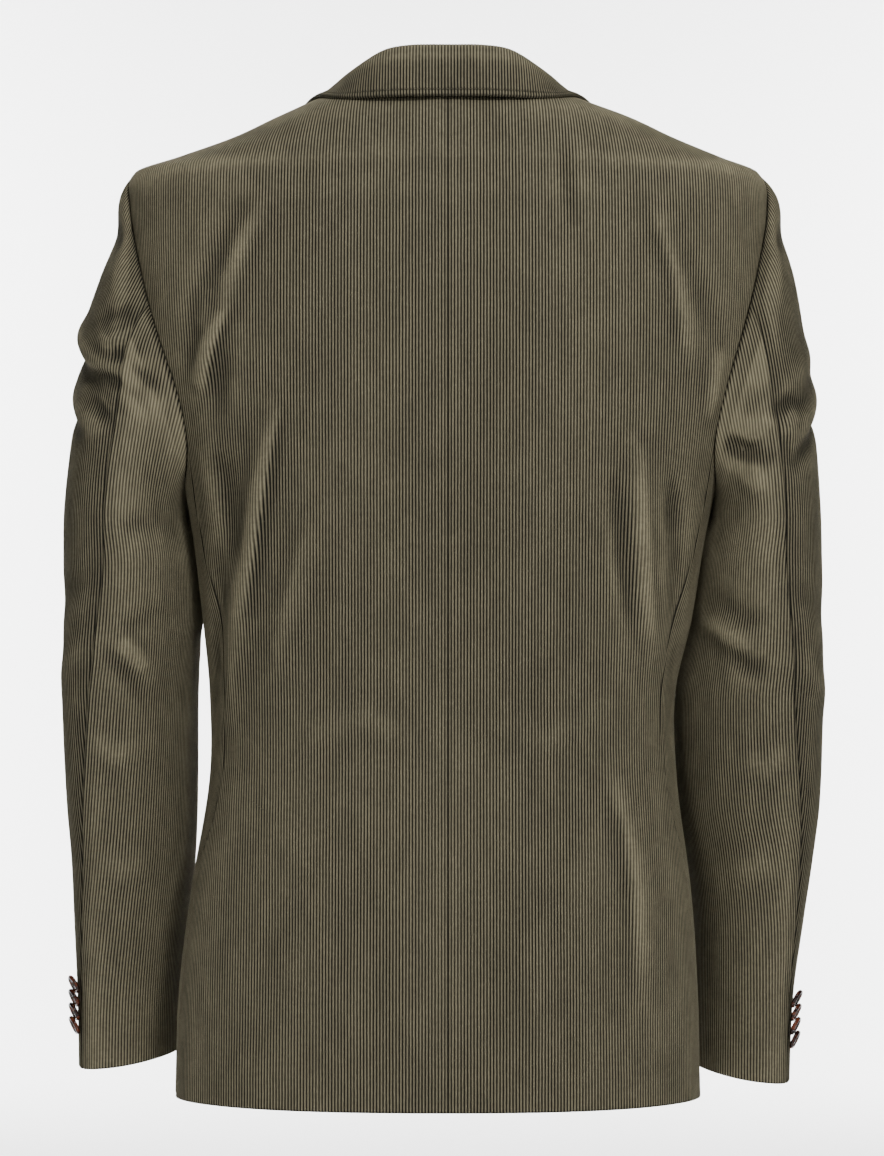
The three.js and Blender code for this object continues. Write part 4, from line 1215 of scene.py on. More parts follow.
@dataclass
class BodyPanels:
    """Back, side, front and lapel of one side."""

    form: BodyForm
    row_spacing: float = 7.0
    armhole_spacing: float = 3.6
    shoulder_spacing: float = 1.1
    neck_rows: int = 10
    curl: float = 8.4

    @property
    def hand(self) -> Hand:
        """The side the panels are on."""
        return self.form.hand

    def rows(self, neck: bool) -> Array:
        """Heights from the hem to the neck, closer together where the edges curve."""
        low = steps_between(
            *hem_rows(HEM_Z),
            (HEM_Z + 6, ARMHOLE_JOIN_Z, self.row_spacing),
            (ARMHOLE_JOIN_Z, SHOULDER_Z, self.armhole_spacing),
            (SHOULDER_Z, 0 if neck else NECK_Z, self.shoulder_spacing),
        )
        if not neck:
            return low
        rise = NECK_Z * (np.arange(1, self.neck_rows + 1) / self.neck_rows) ** 2
        return np.concatenate([low, rise])

    def back(self) -> Strip:
        """The back, from centre back to the side panel, armhole and shoulder seam."""
        form, z = self.form, self.rows(True)
        neck = NECK_HALF_WIDTH * np.sqrt(np.clip(z, 0, None) / NECK_Z)
        low = np.minimum(form.back.length_at_width(neck, z), form.back.total(z) - 4)
        low = np.where(z > 0, low, 0) + SEAM / 2
        high = np.where(z < SHOULDER_Z, form.armhole_back(z), form.back.total(z))
        lapped = form.back_seam(z) + VENT_LAP * vent_ramp(z)
        high = np.where(z < ARMHOLE_JOIN_Z, lapped, high) - SEAM / 2

        def surface(u: Array, row: Array) -> tuple[Array, Array]:
            """The back's cloth."""
            away = np.abs(form.back_seam(row) + VENT_LAP - u)
            return form.cloth(u, row, lap_lift(away, LAP_FADE) * vent_lift(row))

        return Strip(z, low, high, surface)

    def side(self) -> Strip:
        """The side panel, up to the armhole's lower edge."""
        form = self.form
        z = steps_between(
            *hem_rows(HEM_Z),
            (HEM_Z + 6, WAIST_TOP_Z, self.row_spacing),
            (WAIST_TOP_Z, ARMHOLE_JOIN_Z - 3, 4),
            (ARMHOLE_JOIN_Z - 3, ARMHOLE_JOIN_Z, 0.75),
        )
        low = form.back_seam(z) + SEAM / 2 - VENT_LAP * vent_ramp(z)
        high = form.front_seam(z) - SEAM / 2
        middle = (form.back_seam(z) + form.front_seam(z)) / 2

        def surface(along: Array, row: Array) -> tuple[Array, Array]:
            """The side panel's cloth."""
            seam = form.back_seam(row) + SEAM / 2
            end = form.front_seam(row) - SEAM / 2
            u = along + np.interp(row, z, middle)
            share = np.clip((u - seam) / (end - seam), 0, 1)
            top = form.armhole_floor(u) - 4 * FLOOR_DROP * share * (1 - share)
            up = (row - WAIST_TOP_Z) / (ARMHOLE_JOIN_Z - WAIST_TOP_Z)
            height = np.where(row > WAIST_TOP_Z, mix(WAIST_TOP_Z, top, up), row)
            away = np.abs(u - (form.back_seam(height) - VENT_LAP))
            return form.cloth(u, height, -lap_lift(away, LAP_FADE) * vent_lift(height))

        return Strip(z, low - middle, high - middle, surface)

    def front(self) -> Strip:
        """The front, with its grain along the front edge."""
        form, z = self.form, self.rows(False)
        whole = form.whole(z)
        start = np.where(z < SHOULDER_Z, form.armhole_front(z), form.back.total(z))
        start = np.where(z < ARMHOLE_JOIN_Z, form.front_seam(z), start)
        down = np.clip((CUTAWAY_Z - z) / (CUTAWAY_Z - HEM_Z), 0, 1)
        away = 1 - np.sqrt(np.clip(1 - down**2.2, 0, None))
        edge = mix(-EDGE_OVERLAP, CUTAWAY_WIDTH, away)
        edge = np.where(z >= BREAK_Z, form.from_front(roll_width(z), z), edge)
        end = np.maximum(whole - edge, start + 4)

        def surface(along: Array, row: Array) -> tuple[Array, Array]:
            """The front's cloth."""
            u = form.whole(row) + along
            return form.cloth(u, row, form.front_lift(u, row))

        return Strip(z, start + SEAM / 2 - whole, end - whole, surface)

    def lapel(self) -> Strip:
        """The lapel, from its roll at the front's edge to its outer edge, notch and gorge."""
        form, sign = self.form, self.hand.sign
        foot = BREAK_Z + 6 if sign > 0 else LAPEL_HIDDEN_Z
        z = steps_between(
            (foot, foot + 2, 0.7),
            (foot + 2, LAPEL_TIP[1], 5),
            (LAPEL_TIP[1], GORGE[1] - 6, 1.6),
            (GORGE[1] - 6, GORGE[1] - 3, 0.6),
        )
        roll = form.from_front(roll_width(z), z)
        fold = roll_width(z)
        if sign < 0:
            fold = np.maximum(fold, LAPEL_CLEAR - fold)
        start = form.from_front(fold, z) - roll - 1
        shown = smooth(-322, -296, z) if sign < 0 else smooth(foot, foot + 24, z)
        low = np.where(start > 0, start, start - (self.curl - 1) * shown)
        high = form.from_front(np.maximum(lapel_width(z), fold + 3), z) - roll

        def surface(along: Array, row: Array) -> tuple[Array, Array]:
            """The lapel's cloth, rolled under where it goes past the roll line."""
            width = np.maximum(along, 0)
            roll_at = form.whole(row) - form.from_front(roll_width(row), row)
            u = roll_at - width
            lift = WALL + LAYER + LAPEL_ROLL * np.exp(-((width / 16) ** 2))
            point, normal = form.cloth(u, row, lift + form.front_lift(u, row))
            radius = (WALL + LAYER + LAPEL_ROLL) / 2
            turn = (np.maximum(-along, 0) / radius)[..., None]
            ahead = form.point(u + 0.5, row) - form.point(u - 0.5, row)
            ahead /= np.linalg.norm(ahead, axis=-1, keepdims=True)
            rolled = point + radius * ((np.cos(turn) - 1) * normal + np.sin(turn) * ahead)
            return rolled, normal * np.cos(turn) + ahead * np.sin(turn)

        return Strip(z, low, high, surface)


@dataclass
class SleevePanels:
    """Top and under sleeve of one side."""

    form: SleeveForm
    row_spacing: float = 6.0
    cap_rows: int = 34
    grain_fade: tuple[float, float] = (-125, -75)

    @property
    def hand(self) -> Hand:
        """The side the sleeve is on."""
        return self.form.hand

    def cuff_rows(self) -> tuple[tuple[float, float, float], ...]:
        """The rows from the cuff to above the elbow."""
        foot = CUFF_Z[self.hand]
        return (*hem_rows(foot), (foot + 6, -460, self.row_spacing), (-460, WAIST_TOP_Z, 3.4))

    def top(self) -> Strip:
        """The top sleeve, from the hind-arm seam round the outside to the forearm seam."""
        form = self.form
        crown = ARMHOLE_MIDDLE_Z + ARMHOLE_HALF_HEIGHT * math.sin(math.radians(9))
        low_rows = steps_between(*self.cuff_rows(), (WAIST_TOP_Z, crown, 2.4))
        turn = np.arange(1, self.cap_rows + 1) / self.cap_rows * math.pi / 2
        z = np.concatenate([low_rows, mix(crown, SHOULDER_Z - 0.5, np.sin(turn))])
        up = np.arcsin(np.clip((z - ARMHOLE_MIDDLE_Z) / ARMHOLE_HALF_HEIGHT, -1, 1))
        gap = form.seam_angle(z)
        start = np.maximum(form.hind(z), up) + gap
        end = np.minimum(2 * math.pi + FOREARM_SEAM, math.pi - up) - gap
        end = np.maximum(end, start + 0.02)
        middle = form.distance(np.full_like(z, math.pi / 2), z)

        def surface(along: Array, row: Array) -> tuple[Array, Array]:
            """The top sleeve's cloth."""
            angle = form.angle(along + np.interp(row, z, middle), row)
            return form.cloth(angle, row + form.cuff_rise(angle, row))

        low, high = form.distance(start, z), form.distance(end, z)
        return Strip(z, low - middle, high - middle, surface)

    def under(self) -> Strip:
        """The under sleeve, from the forearm seam round the inside to the hind-arm seam."""
        form = self.form
        top_z = WAIST_TOP_Z + 50
        z = steps_between(*self.cuff_rows(), (WAIST_TOP_Z, top_z - 3, 1.4), (top_z - 3, top_z, 0.75))
        flat = np.minimum(z, WAIST_TOP_Z)
        gap = form.seam_angle(z)
        start = FOREARM_SEAM + np.where(z < WAIST_TOP_Z, gap, gap * 5)
        end = form.hind(flat) - gap - corner_trim(z - CUFF_Z[self.hand])
        middle = form.distance((FOREARM_SEAM + form.hind(flat)) / 2, flat)

        def surface(along: Array, row: Array) -> tuple[Array, Array]:
            """The under sleeve's cloth, whose wales keep their distance from the hind-arm seam."""
            level = np.minimum(row, WAIST_TOP_Z)
            place = along + np.interp(row, z, middle)
            angle = first = form.angle(place, level)
            from_seam = place - form.distance(form.hind(level), level)
            held = smooth(*self.grain_fade, from_seam)
            up = np.clip((row - WAIST_TOP_Z) / (top_z - WAIST_TOP_Z), 0, 1)
            for _ in range(4):
                height = mix(level, mix(WAIST_TOP_Z, form.met(form.meet_z, angle), up), up > 0)
                seam = form.distance(form.hind(level), height)
                angle = mix(first, form.angle(seam + from_seam, height), held)
            height = mix(level, mix(WAIST_TOP_Z, form.met(form.meet_z, angle), up), up > 0)
            return form.cloth(angle, np.where(up > 0, height, row + form.cuff_rise(angle, row)))

        low, high = form.distance(start, flat), form.distance(end, flat)
        return Strip(z, low - middle, high - middle, surface)


def corner_trim(above: Array) -> Array:
    """How far round the under sleeve's corner is cut away, above the cuff's foot."""
    down = np.clip(1 - above / CUFF_CORNER, 0, 1)
    return CUFF_NOTCH * (1 - np.sqrt(1 - down * down)) / SLEEVE_RADIUS


# One row for each station from centre back to the front end, as width, depth and height.
COLLAR_FOLD = (
    (0, 56, 32.3), (26, 54.5, 32.2), (45, 47, 30), (59, 31, 23.5), (69, 8, 15.5),
    (74, -21, 10), (75, -46, 2), (70, -70, -17), (66, -88, -43),
)
COLLAR_EDGE = (
    (0, 76, -7), (32, 75, -7), (62, 63, -7), (84, 42, -6), (99, 8, -3),
    (113, -27, -8), (123, -54, -27), (127, -74, -46), (108, -98, -73),
)
COLLAR_SEAM = (
    (0, 61, -1), (28, 59, 0), (52, 46, 2), (66, 29, 4), (72, 6, 6),
    (69, -18, 3), (65, -36, -5), (60, -57, -24), (58, -73, -44),
)


def body_size(p: Array) -> Array:
    """How far outside the body points are, as a share of the body's size."""
    z = p[..., 2]
    half = np.where(p[..., 0] > 0, BODY.at("left", z), BODY.at("right", z))
    away = p[..., 1] - BODY.at("mid", z)
    depth = np.where(away > 0, BODY.at("back", z), BODY.at("front", z))
    power = np.where(away > 0, BODY.at("back_power", z), BODY.at("front_power", z))
    across = (np.abs(p[..., 0]) / half) ** power
    return (across + (np.abs(away) / depth) ** power) ** (1 / power) - 1


def clear_of_body(start: Array, gap: float) -> Array:
    """Move points outwards until they are clear of the body.

    Args:
        start: the points.
        gap: how far outside the body they have to be.

    Returns:
        The moved points.
    """
    p = start.copy()
    for _ in range(6):
        slope = np.empty_like(p)
        for axis in range(3):
            step = np.zeros(3)
            step[axis] = 0.5
            slope[..., axis] = body_size(p + step) - body_size(p - step)
        size = np.linalg.norm(slope, axis=-1)
        short = np.clip(gap - body_size(p) / size, 0, None)
        short = np.where(start[..., 2] > NECK_Z + 6, 0, short)
        p += slope / size[..., None] * short[..., None]
    return p


@dataclass
class Collar:
    """The collar: stand, fold and fall in one strip laid round the neck."""

    stations: int = 241
    fall_steps: int = 5
    row_spacing: float = 1.9

    def __post_init__(self) -> None:
        """Work out the lines across the collar at its stations."""
        self.lines = self.across(np.linspace(-1, 1, self.stations))
        steps = np.linalg.norm(np.diff(self.lines, axis=1), axis=-1).mean(axis=0)
        self.places = np.concatenate([[0], steps.cumsum()])

    def station(self, table: Sequence[Sequence[float]], shares: Array) -> Array:
        """Points of one of the collar's lines.

        Args:
            table: the line's stations.
            shares: where to read it, from -1 at the right end to 1 at the left end.

        Returns:
            One point for each share.
        """
        rows = np.array(table, float)
        mirrored = rows[:0:-1] * (-1, 1, 1)
        beyond = 2 * rows[-1] - rows[-2]
        full = np.concatenate([[beyond * (-1, 1, 1)], mirrored, rows, [beyond]])
        count = len(rows) - 1
        place = (np.clip(shares, -1, 1) + 1) * count
        i = np.clip(place.astype(int), 0, 2 * count - 1)
        t = (place - i)[:, None]
        p0, p1, p2, p3 = (full[i + k] for k in range(4))
        curved = 0.5 * (
            2 * p1
            + (p2 - p0) * t
            + (2 * p0 - 5 * p1 + 4 * p2 - p3) * t * t
            + (3 * p1 - p0 - 3 * p2 + p3) * t * t * t
        )
        straight = ((i == 0) | (i == 2 * count - 1))[:, None]
        return np.where(straight, mix(p1, p2, t), curved)

    def across(self, shares: Array) -> Array:
        """The lines across the collar, from the stand's foot over the fold to the edge.

        Args:
            shares: the stations, from -1 to 1.

        Returns:
            For each station, the points of its line.
        """
        fold, edge, seam = (
            self.station(table, shares) for table in (COLLAR_FOLD, COLLAR_EDGE, COLLAR_SEAM)
        )
        outward = (edge - seam) * (1, 1, 0)
        outward /= np.linalg.norm(outward, axis=-1, keepdims=True)
        half = WALL / 2 + 0.2
        foot = seam - outward * half * 2
        top = fold - outward * half - (0, 0, 4)
        line = [foot, (foot + top) / 2, top, fold]
        for k in range(1, self.fall_steps + 1):
            t = k / self.fall_steps
            bulge = 5 * math.sin(math.pi * math.sqrt(t)) * (1 - t * 0.6)
            line.append(clear_of_body(mix(fold, edge, t) + outward * bulge, WALL + 2 * LAYER))
        return np.stack(line, axis=1)

    def row(self, place: float) -> tuple[Array, Array, Array]:
        """The collar along one row.

        Args:
            place: how far the row is from the stand's foot.

        Returns:
            The row's points at the stations, its unit normals there, and how far along the row
            each station is from centre back.
        """
        lines = np.moveaxis(self.lines, 1, 0)
        points = curve_through(self.places, lines, np.array(place))
        up = curve_through(self.places, lines, np.array(min(place + 0.6, self.places[-1])))
        up = up - curve_through(self.places, lines, np.array(max(place - 0.6, 0)))
        normals = np.cross(np.gradient(points, axis=0), up)
        normals /= np.linalg.norm(normals, axis=-1, keepdims=True)
        steps = np.linalg.norm(np.diff(points, axis=0), axis=-1)
        along = np.concatenate([[0], steps.cumsum()])
        return points, normals, along - along[-1] / 2

    def strip(self) -> Strip:
        """The collar as one strip whose wales run straight down at centre back."""
        last = self.places[-1]
        rows = steps_between((0, 3, 0.8), (3, last - 8, self.row_spacing), (last - 8, last, 0.7))
        found = [self.row(place) for place in rows]
        reach = np.array([along[-1] for _, _, along in found])

        def surface(along: Array, row: Array) -> tuple[Array, Array]:
            """The collar's cloth."""
            points = np.empty(along.shape + (3,))
            normals = np.empty_like(points)
            for j, (row_points, row_normals, row_along) in enumerate(found):
                for axis in range(3):
                    points[j, :, axis] = np.interp(along[j], row_along, row_points[:, axis])
                    normals[j, :, axis] = np.interp(along[j], row_along, row_normals[:, axis])
            return points, normals / np.linalg.norm(normals, axis=-1, keepdims=True)

        return Strip(rows, -reach, reach, surface)

    def stitch_line(self, inset: float) -> tuple[Array, Array]:
        """The topstitching's line, so far above the fall's edge, and its normals."""
        points, normals, _ = self.row(self.places[-1] - inset)
        return points, normals


@dataclass
class Button:
    """A four-hole horn button with a raised rim and a dished middle."""

    radius: float
    thickness: float
    hole_radius: float
    hole_place: float
    rings: int = 22
    sectors: int = 56

    def height(self, x: Array, y: Array) -> Array:
        """The height of the button's face at places on it."""
        share = np.hypot(x, y) / self.radius
        dish = mix(0.66, 0.7, smooth(0, 0.6, share)) * self.thickness
        rim = dish + (self.thickness - dish) * smooth(0.62, 0.8, share)
        rim -= 0.5 * self.thickness * smooth(0.86, 1.02, share) ** 1.6
        for turn in range(4):
            angle = math.pi / 4 + turn * math.pi / 2
            away = np.hypot(
                x - self.hole_place * math.cos(angle), y - self.hole_place * math.sin(angle)
            )
            rim -= 0.5 * self.thickness * (1 - smooth(self.hole_radius * 0.75, self.hole_radius, away))
        return rim

    def shape(self) -> tuple[Array, Array]:
        """The button's points, with its back on 0 and its face upwards, and its triangles."""
        share = np.linspace(0, 1, self.rings + 1)[1:]
        turn = np.linspace(0, 2 * math.pi, self.sectors, endpoint=False)
        x = self.radius * share[:, None] * np.cos(turn)
        y = self.radius * share[:, None] * np.sin(turn)
        face = np.stack([x, y, self.height(x, y)], axis=-1)
        lower = []
        for scale, z in ((0.98, 0.3), (0.93, 0.14), (0.84, 0.03), (0.78, 0), (0.4, 0)):
            ring = np.stack([x[-1] * scale, y[-1] * scale, np.full(self.sectors, z)], -1)
            lower.append(ring * (1, 1, self.thickness))
        rings = np.concatenate([face, np.array(lower)])
        count = len(rings)
        index = np.arange(count * self.sectors).reshape(count, self.sectors)
        index = np.concatenate([index, index[:, :1]], axis=1)
        faces = grid_faces(index, True)
        points = rings.reshape(-1, 3)
        middle = np.array([[0, 0, self.height(np.zeros(1), np.zeros(1))[0]], [0, 0, 0]])
        top, foot = len(points), len(points) + 1
        first, last = index[0], index[-1]
        caps = [(top, first[k], first[k + 1]) for k in range(self.sectors)]
        caps += [(foot, last[k + 1], last[k]) for k in range(self.sectors)]
        points = np.concatenate([points, middle])
        faces = np.concatenate([faces, np.array(caps)])
        if signed_volume(points, faces) < 0:
            faces = faces[:, ::-1]
        return points, faces


CUFF_BUTTON = Button(7.5, 3.0, 0.85, 1.7)
FRONT_BUTTON = Button(10.0, 4.0, 1.1, 2.2)


def basis(normal: Array, lean: float) -> Array:
    """A button's three directions: across, up and out of its face.

    Args:
        normal: the cloth's unit normal.
        lean: how far the face is turned up.

    Returns:
        The directions, as the columns of a matrix.
    """
    side = np.cross((0, 0, 1), normal)
    side /= np.linalg.norm(side)
    face = normal * math.cos(lean) + np.cross(side, normal) * math.sin(lean)
    return np.stack([side, np.cross(face, side), face], axis=1)


def threads(
    starts: Array, ends: Array, normals: Array, radius: float, bow: float = 0.0
) -> tuple[Array, Array]:
    """Short threads that lie on a surface, each one bowed out in its middle.

    Args:
        starts: where each thread begins.
        ends: where each one ends.
        normals: the surface's unit normal at each one.
        radius: the thread's radius.
        bow: how far its middle stands off the line between its ends.

    Returns:
        All their points, and three vertices for each triangle.
    """
    sides, rings = 6, 5
    along = ends - starts
    length = np.linalg.norm(along, axis=1, keepdims=True)
    across = np.cross(normals, along / length)
    across /= np.linalg.norm(across, axis=1, keepdims=True)
    share = np.linspace(0, 1, rings)[None, :, None, None]
    turn = np.linspace(0, 2 * math.pi, sides, endpoint=False)[None, None, :, None]
    size = radius * np.array([0.35, 0.85, 1, 0.85, 0.35])[None, :, None, None]
    middle = starts[:, None, None] + along[:, None, None] * share
    middle = middle + normals[:, None, None] * (4 * share * (1 - share) * bow)
    points = middle + size * (
        np.cos(turn) * across[:, None, None] + np.sin(turn) * normals[:, None, None]
    )
    ring = np.arange(rings * sides).reshape(rings, sides)
    ring = np.concatenate([ring, ring[:, :1]], axis=1)
    faces = grid_faces(ring, False)
    caps = [(0, k + 1, k) for k in range(1, sides - 1)]
    foot = (rings - 1) * sides
    caps += [(foot, foot + k, foot + k + 1) for k in range(1, sides - 1)]
    faces = np.concatenate([faces, np.array(caps)])
    if signed_volume(points[0].reshape(-1, 3), faces) < 0:
        faces = faces[:, ::-1]
    offsets = np.arange(len(starts))[:, None, None] * (rings * sides)
    return points.reshape(-1, 3), (faces[None] + offsets).reshape(-1, 3)


def stitches(line: Array, normals: Array, length: float, pitch: float, radius: float) -> tuple:
    """A row of stitches along a line on the cloth.

    Args:
        line: points along it.
        normals: the cloth's unit normals there.
        length: each stitch's length.
        pitch: from one stitch to the next.
        radius: the thread's radius.

    Returns:
        The stitches' points and triangles.
    """
    steps = np.linalg.norm(np.diff(line, axis=0), axis=1)
    at = np.concatenate([[0], steps.cumsum()])
    starts = np.arange(pitch / 2, at[-1] - length, pitch)

    def read(values: Array, places: Array) -> Array:
        """Values along the line at places on it."""
        return np.stack([np.interp(places, at, values[:, axis]) for axis in range(3)], axis=1)

    middle = read(normals, starts + length / 2)
    middle /= np.linalg.norm(middle, axis=1, keepdims=True)
    return threads(read(line, starts), read(line, starts + length), middle, radius, radius * 0.6)


Colour = tuple[float, float, float]


def linear(red: int, green: int, blue: int) -> Colour:
    """A screen colour, each part from 0 to 255, as linear light."""

    def light(part: int) -> float:
        """One part as linear light."""
        share = part / 255
        return share / 12.92 if share <= 0.04045 else ((share + 0.055) / 1.055) ** 2.4

    return light(red), light(green), light(blue)


class Group:
    """A shader node group under construction, with named inputs and outputs."""

    def __init__(self, name: str, inputs: dict[str, float | Colour], outputs: dict[str, str]):
        """Open a group.

        Args:
            name: the group's name.
            inputs: each input's first value, a number or a colour.
            outputs: each output's kind, "Float", "Color" or "Vector".
        """
        self.tree = bpy.data.node_groups.new(name, "ShaderNodeTree")
        for label, value in inputs.items():
            kind = "Float" if isinstance(value, (int, float)) else "Color"
            socket = self.tree.interface.new_socket(
                name=label, in_out="INPUT", socket_type=f"NodeSocket{kind}"
            )
            socket.default_value = value if kind == "Float" else (*value, 1)
        for label, kind in outputs.items():
            self.tree.interface.new_socket(
                name=label, in_out="OUTPUT", socket_type=f"NodeSocket{kind}"
            )
        self.inputs = self.tree.nodes.new("NodeGroupInput").outputs
        self.outputs = self.tree.nodes.new("NodeGroupOutput").inputs

    def node(self, kind: str, **settings: object) -> bpy.types.Node:
        """Add a node with its settings."""
        node = self.tree.nodes.new(kind)
        for key, value in settings.items():
            setattr(node, key, value)
        return node

    def link(self, source: bpy.types.NodeSocket, target: bpy.types.NodeSocket) -> None:
        """Join an output to an input."""
        self.tree.links.new(source, target)

    def feed(self, target: bpy.types.NodeSocket, value: object) -> None:
        """Give an input a link or a constant."""
        if isinstance(value, bpy.types.NodeSocket):
            self.link(value, target)
        else:
            target.default_value = value

    def math(self, operation: str, *values: object) -> bpy.types.NodeSocket:
        """The result of a sum on links and numbers."""
        node = self.node("ShaderNodeMath", operation=operation)
        for socket, value in zip(node.inputs, values):
            self.feed(socket, value)
        return node.outputs[0]

    def ranged(self, value: object, low: float, high: float, start: float = 0, end: float = 1):
        """A value eased from start to end as it goes from low to high."""
        node = self.node("ShaderNodeMapRange", interpolation_type="SMOOTHSTEP")
        for socket, part in zip(node.inputs, (value, low, high, start, end)):
            self.feed(socket, part)
        return node.outputs[0]

    def noise(self, at: bpy.types.NodeSocket, scale: Colour, detail: float, rough: float = 0.5):
        """Noise whose scale differs along each axis."""
        spread = self.node("ShaderNodeMapping")
        self.link(at, spread.inputs["Vector"])
        spread.inputs["Scale"].default_value = scale
        noise = self.node("ShaderNodeTexNoise")
        self.link(spread.outputs[0], noise.inputs["Vector"])
        noise.inputs["Scale"].default_value = 1
        noise.inputs["Detail"].default_value = detail
        noise.inputs["Roughness"].default_value = rough
        return noise.outputs["Fac"]

    def blended(self, share: object, a: object, b: object) -> bpy.types.NodeSocket:
        """Two colours mixed by a share."""
        node = self.node("ShaderNodeMix", data_type="RGBA")
        self.feed(node.inputs[0], share)
        self.feed(node.inputs[6], a)
        self.feed(node.inputs[7], b)
        return node.outputs[2]

    def scaled(self, colour: object, factor: object) -> bpy.types.NodeSocket:
        """A colour made lighter or darker by a factor."""
        node = self.node("ShaderNodeVectorMath", operation="SCALE")
        self.feed(node.inputs[0], colour)
        self.feed(node.inputs["Scale"], factor)
        return node.outputs[0]


def wales_group() -> bpy.types.NodeTree:
    """The wales: how deep in a groove a place is, how it stands and how its wale's pile lies."""
    group = Group(
        "wales", {"Pitch": 0.00231, "Groove": 0.3}, {"Groove": "Float", "Height": "Float",
        "Streak": "Float"},
    )
    at = group.node("ShaderNodeUVMap", uv_map="cloth").outputs[0]
    parts = group.node("ShaderNodeSeparateXYZ")
    group.link(at, parts.inputs[0])
    wale = group.math("DIVIDE", parts.outputs["X"], group.inputs["Pitch"])
    wander = group.noise(at, (90, 60, 1), 1)
    wale = group.math("ADD", wale, group.math("MULTIPLY", group.math("SUBTRACT", wander, 0.5), 0.16))
    away = group.math("PINGPONG", wale, 0.5)
    half = group.math("MULTIPLY", group.inputs["Groove"], 0.5)
    groove = group.ranged(away, half, 0.08)
    node = groove.node
    group.link(half, node.inputs["From Min"])
    group.link(groove, group.outputs["Groove"])
    crest = group.ranged(away, 0.0, 0.42)
    fibres = group.noise(at, (2600, 1500, 1), 2)
    height = group.math("ADD", crest, group.math("MULTIPLY", fibres, 0.35))
    group.link(height, group.outputs["Height"])
    cell = group.node("ShaderNodeCombineXYZ")
    group.link(group.math("FLOOR", group.math("ADD", wale, 0.5)), cell.inputs["X"])
    group.link(group.math("MULTIPLY", parts.outputs["Y"], 260), cell.inputs["Y"])
    streak = group.noise(cell.outputs[0], (3.7, 1, 1), 3, 0.6)
    group.link(streak, group.outputs["Streak"])
    return group.tree


def nap_group() -> bpy.types.NodeTree:
    """The pile's soft patches, brushed up or down and drawn out along the wales, and the painted light
    on ridges, troughs and seams, read from the mesh.
    """
    group = Group("nap", {}, {"Patch": "Float", "Mottle": "Float", "Press": "Float"})
    at = group.node("ShaderNodeTexCoord").outputs["Object"]
    broad = group.noise(at, (11, 11, 5), 2, 0.5)
    group.link(group.ranged(broad, 0.32, 0.68), group.outputs["Patch"])
    fine = group.noise(at, (75, 75, 32), 4, 0.62)
    group.link(group.ranged(fine, 0.3, 0.7), group.outputs["Mottle"])
    # Painted light from the mesh: lighter on ridges, darker in troughs and along seams.
    press = group.node("ShaderNodeAttribute", attribute_name="press")
    group.link(press.outputs["Fac"], group.outputs["Press"])
    return group.tree


def cord_colour_group() -> bpy.types.NodeTree:
    """The cord's colour, from its wales and its pile, with painted shade in the grooves and painted
    light on ridges, troughs and seams.
    """
    group = Group(
        "cord colour",
        {
            "Crest": (0.2, 0.18, 0.13),
            "Valley": (0.04, 0.03, 0.02),
            "Groove": 0.0,
            "Streak": 0.5,
            "Patch": 0.5,
            "Mottle": 0.5,
            "Press": 0.0,
        },
        {"Color": "Color", "Roughness": "Float"},
    )
    inputs = group.inputs
    light = group.math("MULTIPLY_ADD", inputs["Streak"], 0.8, 0.6)
    light = group.math("MULTIPLY", light, group.math("MULTIPLY_ADD", inputs["Patch"], 0.06, 0.97))
    light = group.math("MULTIPLY", light, group.math("MULTIPLY_ADD", inputs["Mottle"], 0.22, 0.89))
    # Painted highlight on ridges, painted shade in troughs and along seams.
    light = group.math("MULTIPLY", light, group.math("MULTIPLY_ADD", inputs["Press"], 0.3, 1.0))
    crest = group.scaled(inputs["Crest"], light)
    brushed = group.math("MULTIPLY_ADD", inputs["Patch"], -0.08, 1.0)
    shade = group.math("MULTIPLY", inputs["Groove"], brushed)
    # The grooves' painted shade is weaker on ridges and stronger in troughs.
    flat = group.math("MULTIPLY_ADD", inputs["Press"], -0.3, 1.0)
    shade = group.math("MINIMUM", group.math("MULTIPLY", shade, flat), 1.0)
    # The grooves are painted towards the near-black shade colour.
    colour = group.blended(shade, crest, inputs["Valley"])
    group.link(colour, group.outputs["Color"])
    rough = group.math("MULTIPLY_ADD", inputs["Mottle"], 0.1, 0.82)
    group.link(rough, group.outputs["Roughness"])
    return group.tree


def horn_group() -> bpy.types.NodeTree:
    """Polished horn: dark brown, marbled with red-brown and a few light veins."""
    group = Group(
        "horn",
        {"Dark": (0.03, 0.01, 0.008), "Warm": (0.16, 0.05, 0.02), "Vein": (0.35, 0.18, 0.09)},
        {"Color": "Color", "Roughness": "Float"},
    )
    at = group.node("ShaderNodeTexCoord").outputs["Object"]
    cloud = group.noise(at, (150, 150, 210), 4, 0.6)
    warm = group.ranged(cloud, 0.42, 0.66)
    colour = group.blended(warm, group.inputs["Dark"], group.inputs["Warm"])
    vein = group.noise(at, (420, 300, 260), 3, 0.55)
    colour = group.blended(group.ranged(vein, 0.6, 0.74, 0, 0.7), colour, group.inputs["Vein"])
    group.link(colour, group.outputs["Color"])
    group.link(group.ranged(vein, 0.3, 0.8, 0.12, 0.24), group.outputs["Roughness"])
    return group.tree


